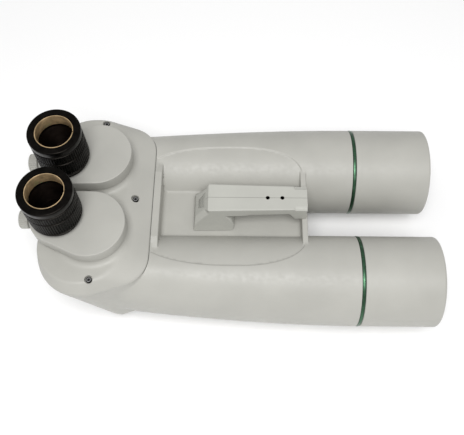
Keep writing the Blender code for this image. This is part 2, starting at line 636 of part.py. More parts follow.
clear_scene()
PAINT = material("warm_grey_paint", (0.52, 0.51, 0.47), 0.45)
PLASTIC = material("grey_plastic", (0.54, 0.54, 0.49), 0.5)
DARK_PLASTIC = material("dark_grey_plastic", (0.16, 0.16, 0.15), 0.6)
BLACK_METAL = material("black_anodised", (0.012, 0.011, 0.010), 0.35, 0.6)
BLACK_STEEL = material("black_steel", (0.03, 0.03, 0.03), 0.35, 0.9)
GREEN = material("green_anodised", (0.02, 0.13, 0.06), 0.3, 0.6)
BRASS = material("brass", (0.62, 0.42, 0.16), 0.3, 1.0)
ALUMINIUM = material("aluminium", (0.7, 0.7, 0.72), 0.35, 1.0)
STEEL = material("steel", (0.55, 0.55, 0.56), 0.3, 1.0)
GLASS = material("optical_glass", (0.75, 0.85, 0.8), 0.02, 0.0, 1.0)

OPTICAL_FRAME = empty("optical_frame", (0.0, RIM_Y, TUBE_AXIS_Z))
make_body()
make_cover()
make_cover_screws()
make_handle()
make_foot()
for side_name, sign in SIDES.items():
    make_objective(side_name, sign)
    make_prisms(side_name, sign)
    turret_pivot = empty(
        f"turret_axis_{side_name}", (sign * TURRET_X, TURRET_Y, 0.0), -sign * TURRET_SWING, OPTICAL_FRAME
    )
    make_turret(side_name, sign, turret_pivot)
    make_holder(side_name, turret_pivot)
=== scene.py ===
"""Looks of a ninety-degree binocular telescope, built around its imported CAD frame.

Shapes are worked out in millimetres in the optical frame: its origin is on the front rim
plane, midway between the two tube axes, +Y points out of the objectives and +Z is up.
to_row() turns them into metres in the row frame, where every mesh lies with its object at
the origin.
"""
import json
import math

import bmesh
import bpy
import numpy as np
from mathutils import Matrix, Vector


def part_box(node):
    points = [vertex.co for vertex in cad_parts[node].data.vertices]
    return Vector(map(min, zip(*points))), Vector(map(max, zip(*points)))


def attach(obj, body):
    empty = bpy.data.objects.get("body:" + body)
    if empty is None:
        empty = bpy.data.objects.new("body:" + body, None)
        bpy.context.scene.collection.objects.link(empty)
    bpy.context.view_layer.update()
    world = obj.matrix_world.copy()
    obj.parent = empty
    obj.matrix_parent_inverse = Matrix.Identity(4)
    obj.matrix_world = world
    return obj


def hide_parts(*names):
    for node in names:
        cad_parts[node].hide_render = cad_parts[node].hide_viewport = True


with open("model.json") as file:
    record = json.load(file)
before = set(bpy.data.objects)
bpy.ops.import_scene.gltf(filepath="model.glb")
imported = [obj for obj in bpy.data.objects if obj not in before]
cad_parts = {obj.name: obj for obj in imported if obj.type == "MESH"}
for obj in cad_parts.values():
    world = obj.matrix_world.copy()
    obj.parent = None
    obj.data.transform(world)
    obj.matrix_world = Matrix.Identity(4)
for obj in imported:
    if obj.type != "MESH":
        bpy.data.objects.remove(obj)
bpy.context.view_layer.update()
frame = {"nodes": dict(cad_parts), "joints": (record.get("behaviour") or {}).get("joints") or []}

SIDES = {"left": -1, "right": 1}
METRE = 1000.0

# ---------------------------------------------------------------- places read from the frame

shield_low, shield_high = (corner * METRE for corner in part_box("dew_shield_right"))
TUBE_X = (shield_low.x + shield_high.x) / 2
TUBE_AXIS_Z = (shield_low.z + shield_high.z) / 2
RIM_Y = shield_high.y
SHIELD_RADIUS = (shield_high.x - shield_low.x) / 2
ORIGIN = np.array((0.0, RIM_Y, TUBE_AXIS_Z))


def place_of(joint_name):
    """A joint's position in the optical frame."""
    joint = next(j for j in frame["joints"] if j["name"] == joint_name)
    return Vector(np.array(joint["pos_m"]) * METRE - ORIGIN)


def box_of(node):
    low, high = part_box(node)
    return Vector(np.array(low) * METRE - ORIGIN), Vector(np.array(high) * METRE - ORIGIN)


TURRETS = {label: place_of(f"turret_{label}_swing") for label in SIDES}
HOLDERS = {label: place_of(f"focus_{label}_turn") for label in SIDES}
KNOBS = {label: place_of(f"knob_{label}_turn") for label in SIDES}


# ---------------------------------------------------------------- mesh helpers

def to_row(points):
    return (np.asarray(points, float).reshape(-1, 3) + ORIGIN) / METRE


def new_object(name, points, faces):
    mesh = bpy.data.meshes.new(name)
    mesh.from_pydata(to_row(points).tolist(), [], [list(map(int, face)) for face in faces])
    bm = bmesh.new()
    bm.from_mesh(mesh)
    bmesh.ops.remove_doubles(bm, verts=bm.verts, dist=2e-6)
    bmesh.ops.dissolve_degenerate(bm, dist=1e-6, edges=bm.edges)
    bmesh.ops.recalc_face_normals(bm, faces=bm.faces)
    bm.to_mesh(mesh)
    bm.free()
    obj = bpy.data.objects.new(name, mesh)
    bpy.context.scene.collection.objects.link(obj)
    return obj


def applied(obj):
    """Applies an object's modifiers and removes the tools that they used."""
    tools = [m.object for m in obj.modifiers if m.type == "BOOLEAN"]
    graph = bpy.context.evaluated_depsgraph_get()
    mesh = bpy.data.meshes.new_from_object(obj.evaluated_get(graph), depsgraph=graph)
    obj.modifiers.clear()
    old = obj.data
    obj.data = mesh
    mesh.name = obj.name
    bpy.data.meshes.remove(old)
    for tool in tools:
        bpy.data.objects.remove(tool)
    return obj


def combine(obj, tool, operation, solver="MANIFOLD"):
    modifier = obj.modifiers.new(operation, "BOOLEAN")
    modifier.operation = operation
    modifier.solver = solver
    modifier.object = tool
    return obj


def cut(obj, *tools):
    for tool in tools:
        combine(obj, tool, "DIFFERENCE")
    return applied(obj)


def add(obj, *tools):
    for tool in tools:
        combine(obj, tool, "UNION")
    return applied(obj)


def bevelled(obj, width, segments=3, angle=30):
    modifier = obj.modifiers.new("edges", "BEVEL")
    modifier.width = width / METRE
    modifier.segments = segments
    modifier.limit_method = "ANGLE"
    modifier.angle_limit = math.radians(angle)
    modifier.use_clamp_overlap = True
    modifier.harden_normals = False
    return applied(obj)


def shaded(obj, angle=32):
    obj.data.shade_smooth()
    obj.data.set_sharp_from_angle(angle=math.radians(angle))
    return obj


def finished(obj, material, body, slot, *nodes):
    """Gives a piece its material and body, and hides the CAD nodes that it stands for; the slot is not
    used.
    """
    obj.data.materials.clear()
    obj.data.materials.append(material)
    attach(obj, body)
    if nodes:
        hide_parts(*nodes)
    return obj


def loft(rings, capped=True):
    """Points and faces of a skin over rings of equally many points."""
    count = len(rings[0])
    points = np.concatenate([np.asarray(ring, float) for ring in rings])
    faces = []
    for level in range(len(rings) - 1):
        base = level * count
        for i in range(count):
            j = (i + 1) % count
            faces.append((base + i, base + j, base + count + j, base + count + i))
    if capped:
        faces.append(tuple(range(count))[::-1])
        faces.append(tuple(range(len(points) - count, len(points))))
    return points, faces


def rounded(corners, radius, steps=4):
    """A closed outline with its corners eased; corners on the axis stay."""
    result = []
    count = len(corners)
    for i, corner in enumerate(corners):
        corner = Vector(corner)
        before, after = Vector(corners[i - 1]), Vector(corners[(i + 1) % count])
        if corner.x < 1e-6:
            result.append(tuple(corner))
            continue
        reach_a = min(radius, 0.45 * (before - corner).length)
        reach_b = min(radius, 0.45 * (after - corner).length)
        start = corner + (before - corner).normalized() * reach_a
        end = corner + (after - corner).normalized() * reach_b
        for step in range(steps + 1):
            t = step / steps
            result.append(tuple(start * (1 - t) ** 2 + corner * (2 * t * (1 - t)) + end * t ** 2))
    return result


def turned(name, profile, segments=144, knurls=(), matrix=None):
    """Turns a closed (radius, height) outline about +Z.

    Each knurl is (low, high, depth): between those heights every second pair of points is
    pressed in, so the number of ribs is a quarter of the number of segments.
    """
    turns = np.arange(segments) * 2 * math.pi / segments
    pressed = (np.arange(segments) % 4 >= 2).astype(float)
    outer = max(radius for radius, _ in profile)
    rings = []
    for radius, height in profile:
        depth = sum(d for low, high, d in knurls if low < height < high and radius > outer - 1.5 * d - 0.5)
        radii = radius - depth * pressed
        rings.append(np.c_[radii * np.cos(turns), radii * np.sin(turns), np.full(segments, height)])
    rings.append(rings[0])
    points, faces = loft(rings, capped=False)
    if matrix is not None:
        points = moved(points, matrix)
    return shaded(new_object(name, points, faces))


def moved(points, matrix):
    m = np.array(matrix)
    return np.asarray(points, float) @ m[:3, :3].T + m[:3, 3]


def outline(circles, inset=0.0, count=192):
    """The convex outline round circles (x, y, radius): one point for each direction."""
    turns = np.arange(count) * 2 * math.pi / count
    normals = np.c_[np.cos(turns), np.sin(turns)]
    centres = np.array([(x, y) for x, y, _ in circles])
    radii = np.array([r for _, _, r in circles])
    best = np.argmax(normals @ centres.T + radii, axis=1)
    return centres[best] + (radii[best] - inset)[:, None] * normals


def at_height(flat, z):
    return np.c_[flat, np.full(len(flat), z)]


def mirrored(x, y, radius):
    return [(-x, y, radius), (x, y, radius)]


def cylinder(name, x, y, low, high, radius, segments=48):
    ring = outline([(x, y, radius)], count=segments)
    return new_object(name, *loft([at_height(ring, low), at_height(ring, high)]))


def block(name, x_range, y_range, z_range):
    corners = [(x_range[i], y_range[j]) for i, j in ((0, 0), (1, 0), (1, 1), (0, 1))]
    return new_object(name, *loft([at_height(corners, z) for z in z_range]))


# ---------------------------------------------------------------- body casting

TUBE_RADIUS = 42.4
TUBE_BACK_Y, TUBE_FRONT_Y, TUBE_SPARE = -300.0, -75.1, 4.0
TAPER_START_Y, TAPER_SPAN, TAPER_POWER = -80.0, 220.0, 1.75
TAPER_WIDTH, TAPER_BELOW = 14.4, 10.4
TAIL_START_Y, TAIL_SLIP = -275.0, 3.4
TUBE_WALL = 3.2
CELL_SEAT_RADIUS = 39.0
WEB_LOW, WEB_HIGH = 13.0, 21.0
WEB_BACK_Y, WEB_FRONT_Y, WEB_REACH = -275.0, -123.0, 48.0
WALL_Y, WALL_HALF, WALL_TOP = -123.65, 2.65, 36.3
WALL_LOW = WEB_LOW + 0.3
BRIDGE_BACK_Y, BRIDGE_FRONT_Y, BRIDGE_TOP, BRIDGE_REACH = -290.0, -259.0, 42.1, 56.0
BRIDGE_LEVEL_X, BRIDGE_FALL = 34.0, 0.3
HEAD_RIM = mirrored(55.0, -294.0, 28.0) + mirrored(50.5, -324.0, 42.0)
HEAD_FLOOR = mirrored(59.65, -296.0, 26.0)
HEAD_TOP, HEAD_FLOOR_Z, HEAD_WALL = 39.7, -32.5, 3.5
HEAD_FRONT_Y, HEAD_SPARE = -240.0, 1.8
SEAM = 0.4
SCOOP_Y, SCOOP_FRONT, SCOOP_BACK = -190.0, 67.0, 86.6
SCOOP_INNER_X, SCOOP_WIDTH, SCOOP_POWER, SCOOP_DEPTH = 30.0, 33.0, 2.4, 0.9
SCOOP_LIP = 1.9
SOLE_Z = -TUBE_AXIS_Z
FOOT_SCREW_YS = {"front": -160.0, "rear": -230.0}
FOOT_HOLE_RADIUS = 2.8
HANDLE_SCREW_X, HANDLE_SCREW_Y = 7.5, -210.0


def smooth_min(a, b, reach):
    h = np.clip(0.5 + 0.5 * (b - a) / reach, 0, 1)
    return b + (a - b) * h - reach * h * (1 - h)


def smooth_max(a, b, reach):
    return -smooth_min(-a, -b, reach)


def round_max(a, b, radius):
    return np.minimum(np.maximum(a, b), -radius) + np.hypot(
        np.maximum(a + radius, 0), np.maximum(b + radius, 0))


def taper(y):
    return np.clip((TAPER_START_Y - y) / TAPER_SPAN, 0, None) ** TAPER_POWER


def scoop_edge(y):
    """How far out the hand recess reaches at y."""
    along = (y - SCOOP_Y) / np.where(y > SCOOP_Y, SCOOP_FRONT, SCOOP_BACK)
    share = np.clip(1 - np.abs(along) ** SCOOP_POWER, 0, 1) ** (1 / SCOOP_POWER)
    return SCOOP_INNER_X + SCOOP_WIDTH * share


def tube_distance(x, y, z):
    """Distance to the right barrel: it shrinks only below and outside, and its top has the recess."""
    tail = TAIL_SLIP * np.clip((TAIL_START_Y - y) / 25.0, 0, 1) ** 2
    width = np.where(x > TUBE_X, TUBE_RADIUS - TAPER_WIDTH * taper(y) - tail, TUBE_RADIUS)
    height = np.where(z > 0, TUBE_RADIUS, TUBE_RADIUS - TAPER_BELOW * taper(y))
    distance = (np.hypot((x - TUBE_X) / width, z / height) - 1) * np.minimum(width, height)
    inside = np.clip((scoop_edge(y) - x) / SCOOP_LIP, 0, 1) * (z > 10)
    front_end = np.clip((SCOOP_Y + SCOOP_FRONT - y) / 3.0, 0, 1)
    return distance + SCOOP_DEPTH * inside * inside * (3 - 2 * inside) * front_end


def slanted_planes(top, top_z, bottom, bottom_z, count=192):
    """Normals and offsets of the planes that touch both outlines."""
    upper = at_height(outline(top, count=count), top_z)
    lower = at_height(outline(bottom, count=count), bottom_z)
    turns = np.arange(count) * 2 * math.pi / count
    tangents = np.c_[-np.sin(turns), np.cos(turns), np.zeros(count)]
    normals = np.cross(tangents, upper - lower)
    normals /= np.linalg.norm(normals, axis=1)[:, None]
    return normals, (normals * upper).sum(1)


SLANTED = slanted_planes(HEAD_RIM, HEAD_TOP, HEAD_FLOOR, HEAD_FLOOR_Z)
UPRIGHT = slanted_planes(HEAD_RIM, HEAD_TOP, HEAD_RIM, HEAD_FLOOR_Z)


def head_distance(points):
    far_away = 50.0
    distance = np.full(len(points), far_away)
    near = points[:, 1] < HEAD_FRONT_Y
    p = points[near]
    side = np.maximum(*((p @ normals.T - offsets).max(1) for normals, offsets in (SLANTED, UPRIGHT)))
    side = round_max(side, HEAD_FLOOR_Z - p[:, 2], 5.0)
    distance[near] = np.maximum(side, p[:, 2] - (HEAD_TOP + HEAD_SPARE))
    return distance


def body_distance(points):
    """Distance to the outside of the casting, in millimetres, with its fillets."""
    x, y, z = np.abs(points[:, 0]), points[:, 1], points[:, 2]
    tube = np.maximum(tube_distance(x, y, z), y - TUBE_FRONT_Y - TUBE_SPARE)
    tube = round_max(tube, TUBE_BACK_Y - y, 4.0)
    web = np.abs(z - (WEB_LOW + WEB_HIGH) / 2) - (WEB_HIGH - WEB_LOW) / 2
    web = round_max(web, y - WEB_FRONT_Y, 1.0)
    web = np.maximum(web, np.maximum(x - WEB_REACH, WEB_BACK_Y - y))
    wall = round_max(z - WALL_TOP, np.abs(y - WALL_Y) - WALL_HALF, 0.9)
    wall = np.maximum(wall, np.maximum(x - WEB_REACH, WALL_LOW - z))
    bridge_top = BRIDGE_TOP - BRIDGE_FALL * np.clip(x - BRIDGE_LEVEL_X, 0, None)
    bridge = round_max(z - bridge_top, y - BRIDGE_FRONT_Y, 1.2)
    bridge = np.maximum(bridge, np.maximum(x - BRIDGE_REACH, np.maximum(BRIDGE_BACK_Y - y, WEB_LOW - z)))
    deck = smooth_min(web, bridge, 5.0)
    deck = smooth_min(deck, wall, 2.0)
    shell = smooth_min(tube, deck, 1.2)
    fillet = 0.8 + 2.5 * np.clip((38.0 - z) / 8.0, 0, 1)
    return smooth_min(shell, head_distance(points), fillet)


def gradient(points, distance, step=0.05):
    columns = []
    for axis in range(3):
        shift = np.zeros(3)
        shift[axis] = step
        columns.append((distance(points + shift) - distance(points - shift)) / (2 * step))
    return np.stack(columns, axis=1)


def settle(points, distance, rounds=6, longest=1.5):
    """Moves points onto the surface where the distance is nought, in steps of limited length."""
    for _ in range(rounds):
        slope = gradient(points, distance)
        square = np.maximum((slope ** 2).sum(1), 0.2)
        step = (distance(points) / square)[:, None] * slope
        points = points - np.clip(step, -longest, longest)
    return points


def coordinates_of(mesh):
    points = np.empty(len(mesh.vertices) * 3)
    mesh.vertices.foreach_get("co", points)
    return points.reshape(-1, 3) * METRE - ORIGIN


def cast(name, lumps, distance, voxel, zone=None, refinements=0):
    """One even skin over rough lumps, drawn onto the surface that the distance describes."""
    obj = add(*lumps)
    obj.name = name
    remesh = obj.modifiers.new("even", "REMESH")
    remesh.mode = "VOXEL"
    remesh.voxel_size = voxel / METRE
    applied(obj)
    for _ in range(refinements):
        refine(obj.data, zone)
    points = settle(coordinates_of(obj.data), distance)
    obj.data.vertices.foreach_set("co", to_row(points).ravel())
    obj.data.update()
    return obj


def barrel_rings(side, inset, stations, count=96):
    """Cross-sections of one barrel; with an inset they are those of its bore."""
    rings = []
    turns = np.arange(count) * 2 * math.pi / count
    for y in stations:
        outward = TUBE_RADIUS - TAPER_WIDTH * taper(y) - inset
        below = TUBE_RADIUS - TAPER_BELOW * taper(y) - inset
        straight = TUBE_RADIUS - inset
        if inset:
            outward, below, straight = (min(v, CELL_SEAT_RADIUS) for v in (outward, below, straight))
        widths = np.where(side * np.cos(turns) > 0, outward, straight)
        heights = np.where(np.sin(turns) > 0, straight, below)
        across = side * TUBE_X + widths * np.cos(turns)
        rings.append(np.c_[across, np.full(count, y), heights * np.sin(turns)])
    return rings


def refine(mesh, zone):
    """Halves every edge that has both its ends in the zone."""
    bm = bmesh.new()
    bm.from_mesh(mesh)
    flags = zone(np.array([v.co for v in bm.verts]) * METRE - ORIGIN)
    edges = [e for e in bm.edges if flags[e.verts[0].index] and flags[e.verts[1].index]]
    bmesh.ops.subdivide_edges(bm, edges=edges, cuts=1, use_grid_fill=True)
    bm.to_mesh(mesh)
    bm.free()


def fine_zone(p):
    """Round the casting's crisp edges: the strip before the cover, the recess and the wall."""
    x, y, z = np.abs(p[:, 0]), p[:, 1], p[:, 2]
    strip = (x < 58) & (np.abs(y - BRIDGE_FRONT_Y) < 3.5) & (z > 36)
    recess = (np.abs(x - scoop_edge(y)) < 2.6) & (z > 20) & (y < -120) & (y > -262)
    wall_edge = (x < 46) & (np.abs(y - WALL_Y) < 5.0) & (z > 9)
    return strip | recess | wall_edge


def make_body():
    stations = np.linspace(TUBE_BACK_Y, TUBE_FRONT_Y + TUBE_SPARE, 20)
    lumps = []
    for label, side in SIDES.items():
        lumps.append(new_object(f"lump_{label}", *loft(barrel_rings(side, 0.0, stations))))
    lumps.append(new_object("lump_head", *loft([
        at_height(outline(HEAD_FLOOR), HEAD_FLOOR_Z),
        at_height(outline(HEAD_RIM), HEAD_TOP),
        at_height(outline(HEAD_RIM), HEAD_TOP + HEAD_SPARE),
    ])))
    bridge_width, web_width = (-BRIDGE_REACH, BRIDGE_REACH), (-WEB_REACH, WEB_REACH)
    wall_length = (WALL_Y - WALL_HALF, WALL_Y + WALL_HALF)
    lumps.append(block("lump_bridge", bridge_width, (BRIDGE_BACK_Y, BRIDGE_FRONT_Y), (WEB_LOW, BRIDGE_TOP)))
    lumps.append(block("lump_web", web_width, (WEB_BACK_Y, WEB_FRONT_Y), (WEB_LOW, WEB_HIGH)))
    lumps.append(block("lump_wall", web_width, wall_length, (WALL_LOW, WALL_TOP)))
    voxel, refinements = ((1.7, 2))
    body = cast("body_shell", lumps, body_distance, voxel, fine_zone, refinements)

    bore_stations = np.append(np.linspace(TUBE_BACK_Y - 8, -100.0, 14), TUBE_FRONT_Y + 12)
    bores = []
    for side in SIDES.values():
        bores.append(new_object("bore", *loft(barrel_rings(side, TUBE_WALL, bore_stations))))
    ends = block("ends", (-120, 120), (TUBE_FRONT_Y, -60), (-60, 60))
    seat_outline = outline(HEAD_RIM, -SEAM)
    seat = new_object("seat", *loft([at_height(seat_outline, z) for z in (HEAD_TOP, 60.0)]))
    cavity = new_object("cavity", *loft([
        at_height(outline(HEAD_FLOOR, HEAD_WALL), HEAD_FLOOR_Z + HEAD_WALL),
        at_height(outline(HEAD_RIM, HEAD_WALL), HEAD_TOP),
        at_height(outline(HEAD_RIM, HEAD_WALL), HEAD_TOP + 5),
    ]))
    holes = [cylinder("hole", 0, y, -5, WEB_HIGH - 2.0, FOOT_HOLE_RADIUS) for y in FOOT_SCREW_YS.values()]
    for x in (-HANDLE_SCREW_X, HANDLE_SCREW_X):
        holes.append(cylinder("hole", x, HANDLE_SCREW_Y, -5, 25.0, 1.9))
        holes.append(cylinder("hole", x, HANDLE_SCREW_Y, -5, WEB_LOW + 3.0, 3.4))
    cut(body, *bores, ends, seat, cavity, *holes)
    smooth_casting(body, body_distance)
    return finished(body, PAINT, "body", "warm_grey_paint", "body_casting")


def smooth_casting(obj, distance, nearness=0.05, agreement=0.75):
    """Shades the outside by the exact slope of its surface, and the cut faces by angle."""
    mesh = shaded(obj).data
    points = coordinates_of(mesh)
    outside = np.abs(distance(points)) < nearness
    slopes = gradient(points, distance, 0.1)
    slopes /= np.maximum(np.linalg.norm(slopes, axis=1), 1e-6)[:, None]
    corners = np.empty(len(mesh.loops), int)
    mesh.loops.foreach_get("vertex_index", corners)
    face_normals = np.empty(len(mesh.polygons) * 3)
    mesh.polygons.foreach_get("normal", face_normals)
    totals = np.empty(len(mesh.polygons), int)
    mesh.polygons.foreach_get("loop_total", totals)
    face_of = np.repeat(np.arange(len(mesh.polygons)), totals)
    agree = (slopes[corners] * face_normals.reshape(-1, 3)[face_of]).sum(1) > agreement
    normals = np.where((outside[corners] & agree)[:, None], slopes[corners], 0.0)
    mesh.normals_split_custom_set(normals.tolist())


# ---------------------------------------------------------------- head cover

COVER_EDGE, COVER_LOW = 43.0, HEAD_TOP - 4.0
COVER_SPAN_X, COVER_SPAN_Y = (-120, 120), (-400, -240)
PEDESTAL = mirrored(46.5, -326.0, 38.6)
PEDESTAL_Z = 53.5
COVER_SCREWS = {"left": (-81.0, -315.0, 50.2), "right": (81.0, -315.0, 50.2), "middle": (0.0, -281.0, 47.2)}
TURRET_BOTTOM, TURRET_TOP = 58.5, 72.0
NECK_RADIUS = 27.6
BEARING_POCKET, GEAR_POCKET, NECK_BORE = NECK_RADIUS + 4.0, 34.2, NECK_RADIUS + 0.4
COLLAR_RADIUS, COLLAR_LOW, COLLAR_HIGH = 31.2, 45.0, TURRET_BOTTOM + 2.0
COVER_SLOPES = slanted_planes(PEDESTAL, PEDESTAL_Z, HEAD_RIM, COVER_EDGE)
COVER_SIDES = slanted_planes(HEAD_RIM, COVER_EDGE, HEAD_RIM, COVER_LOW)


def cover_distance(points):
    """Distance to the cover: a rim, slopes up to a pedestal, and a filleted collar under each turret."""
    planes = (COVER_SLOPES, COVER_SIDES)
    slopes, sides = ((points @ normals.T - offsets).max(1) for normals, offsets in planes)
    plate = smooth_max(slopes, points[:, 2] - PEDESTAL_Z, 1.6)
    plate = np.maximum(round_max(plate, sides, 1.0), COVER_LOW - points[:, 2])
    for place in TURRETS.values():
        collar = np.hypot(points[:, 0] - place.x, points[:, 1] - place.y) - COLLAR_RADIUS
        collar = np.maximum(collar, np.maximum(points[:, 2] - COLLAR_HIGH, COLLAR_LOW - points[:, 2]))
        plate = smooth_min(plate, collar, 6.0)
    return plate


def make_cover():
    rim = outline(HEAD_RIM)
    lumps = [new_object("lump_plate", *loft([
        at_height(rim, COVER_LOW), at_height(rim, COVER_EDGE), at_height(outline(PEDESTAL), PEDESTAL_Z)]))]
    for place in TURRETS.values():
        lumps.append(cylinder("lump_collar", place.x, place.y, COLLAR_LOW, COLLAR_HIGH, COLLAR_RADIUS, 96))
    cover = cast("cover_shell", lumps, cover_distance, 1.3)

    tools = [
        block("below", COVER_SPAN_X, COVER_SPAN_Y, (20.0, HEAD_TOP + 0.3)),
        block("above", COVER_SPAN_X, COVER_SPAN_Y, (TURRET_BOTTOM - 0.3, 80.0)),
        new_object("inner", *loft([
            at_height(outline(HEAD_RIM, HEAD_WALL), HEAD_TOP - 5),
            at_height(outline(HEAD_RIM, HEAD_WALL), COVER_EDGE - 2),
            at_height(outline(PEDESTAL, 4.0), PEDESTAL_Z - 3.5),
        ])),
    ]
    for place in TURRETS.values():
        tools.append(cylinder("pocket", place.x, place.y, 38.0, 50.0, BEARING_POCKET, 96))
        tools.append(cylinder("pocket", place.x, place.y, 38.5, 47.3, GEAR_POCKET, 96))
        tools.append(cylinder("pocket", place.x, place.y, 30.0, 70.0, NECK_BORE, 96))
    cut(cover, *tools)
    screws = COVER_SCREWS.values()
    add(cover, *(cylinder("boss", x, y, HEAD_TOP + 0.3, seat + 1.0, 4.6) for x, y, seat in screws))
    bores = [cylinder("counterbore", x, y, seat, 70.0, 3.7) for x, y, seat in screws]
    bores += [cylinder("screw_hole", x, y, 30.0, 60.0, 1.8) for x, y, _ in screws]
    cut(cover, *bores)
    smooth_casting(cover, cover_distance)
    return finished(cover, PAINT, "body", "warm_grey_paint", "head_cover")


def cap_screw(name, node, head_radius, head_height, shank_radius, shank, matrix, material=None):
    """A socket cap screw with its seat at the origin of its matrix and its head above."""
    corners = [
        (0.0, -shank), (shank_radius - 0.4, -shank), (shank_radius, -shank + 0.5), (shank_radius, 0.0),
        (head_radius, 0.0), (head_radius, head_height), (0.0, head_height),
    ]
    screw = turned(name, rounded(corners, 0.4, 3), 48, matrix=matrix)
    turns = [math.pi * i / 3 for i in range(6)]
    hexagon = np.array([(math.cos(turn), math.sin(turn)) for turn in turns]) * head_radius * 0.5
    points, faces = loft([at_height(hexagon, z) for z in (head_height * 0.3, head_height * 1.5)])
    cut(screw, new_object("socket", moved(points, matrix), faces))
    return finished(shaded(screw), material or SCREW_STEEL, "body", "black_steel", node)


# ---------------------------------------------------------------- objectives

LENS_RADIUS, CROWN_BULGE = 35.0, 2.4


def along_tube(side):
    """Lays a turned piece along a tube, its heights becoming Y."""
    return Matrix.Translation((side * TUBE_X, 0, 0)) @ Matrix.Rotation(-math.pi / 2, 4, "X")


def make_objective(label, side):
    place = along_tube(side)
    segments = 180
    band = [(39.0, -74.8), (42.2, -74.8), (42.6, -74.3), (42.6, -72.3), (42.2, -71.8), (39.0, -71.8)]
    ring = turned(f"accent_ring_{label}", rounded(band, 0.2, 2), segments, matrix=place)
    finished(ring, GREEN, "body", "green_anodised", f"green_ring_{label}")

    shield = [(39.0, -71.5), (42.1, -71.5), (SHIELD_RADIUS, -71.0), (SHIELD_RADIUS, -2.6)]
    for t in np.linspace(0.1, 1.5, 8):
        shield.append((SHIELD_RADIUS - 2.0 * (1 - math.cos(t)), -2.2 + 2.2 * math.sin(t)))
    shield += [(39.9, -0.1), (39.6, -0.8)]
    grooves, groove = 34, 1.6
    for i in range(grooves):
        y = -3.0 - groove * i
        shield += [(39.6, y), (40.05, y - groove * 0.5)]
    shield += [(39.6, -59.0), (39.6, -63.0), (39.0, -63.0)]
    hood = turned(f"dew_hood_{label}", shield, segments, matrix=place)
    finished(hood, SHIELD_PAINT, "body", "warm_grey_paint", f"dew_shield_{label}")

    cell = [(33.5, -97.0), (38.7, -97.0), (38.7, -64.0), (36.4, -64.0)]
    cell += [(35.3, -66.0), (35.3, -94.0), (33.5, -94.0)]
    holder = turned(f"lens_cell_{label}", rounded(cell, 0.5, 3), segments, matrix=place)
    finished(holder, BLACK_TURNED, "body", "black_anodised", f"objective_cell_{label}")

    crown_back, crown_front = (corner.y for corner in box_of(f"objective_crown_{label}"))
    flint_back, flint_front = (corner.y for corner in box_of(f"objective_flint_{label}"))
    steps = 24
    rise = [(LENS_RADIUS * i / steps, 1 - (i / steps) ** 2) for i in range(steps + 1)]
    for kind, y_back, y_front, back_bulge, front_bulge in (
        ("crown", crown_back, crown_front - CROWN_BULGE, -0.6, CROWN_BULGE),
        ("flint", flint_back, flint_front, 0.0, -1.8),
    ):
        profile = [(r, y_back - back_bulge * share) for r, share in rise]
        profile += [(r, y_front + front_bulge * share) for r, share in reversed(rise)]
        lens = turned(f"{kind}_lens_{label}", profile, 96, matrix=place)
        finished(lens, COATED_GLASS, "body", "optical_glass", f"objective_{kind}_{label}")


# ---------------------------------------------------------------- turrets and holders

EYEPIECE_OFFSET = 28.8
TURRET_RADIUS, TIP_RADIUS = 31.5, 25.5
GRIP_ANGLES = (-50, -45, -40, -35, -30, -25)
GRIP_RADIUS = 25.9
RIBBED_SEGMENTS = 264
HOLDER_RADIUS, SOCKET_RADIUS = 23.26, 15.98


def turret_frame(label):
    """Turret coordinates to the optical frame; the eyepiece end points along -Y."""
    x, y, _ = TURRETS[label]
    towards = Vector((HOLDERS[label].x - x, HOLDERS[label].y - y))
    return Matrix.Translation((x, y, 0)) @ Matrix.Rotation(math.atan2(towards.x, -towards.y), 4, "Z")


def teardrop(inset, z, count=240):
    return at_height(outline([(0, 0, TURRET_RADIUS), (0, -EYEPIECE_OFFSET, TIP_RADIUS)], inset, count), z)


def round_prism(name, circles, low, high, matrix, count=96):
    """A straight-sided solid over the outline round some circles, in the matrix's own frame."""
    points, faces = loft([at_height(outline(circles, count=count), z) for z in (low, high)])
    return new_object(name, moved(points, matrix), faces)


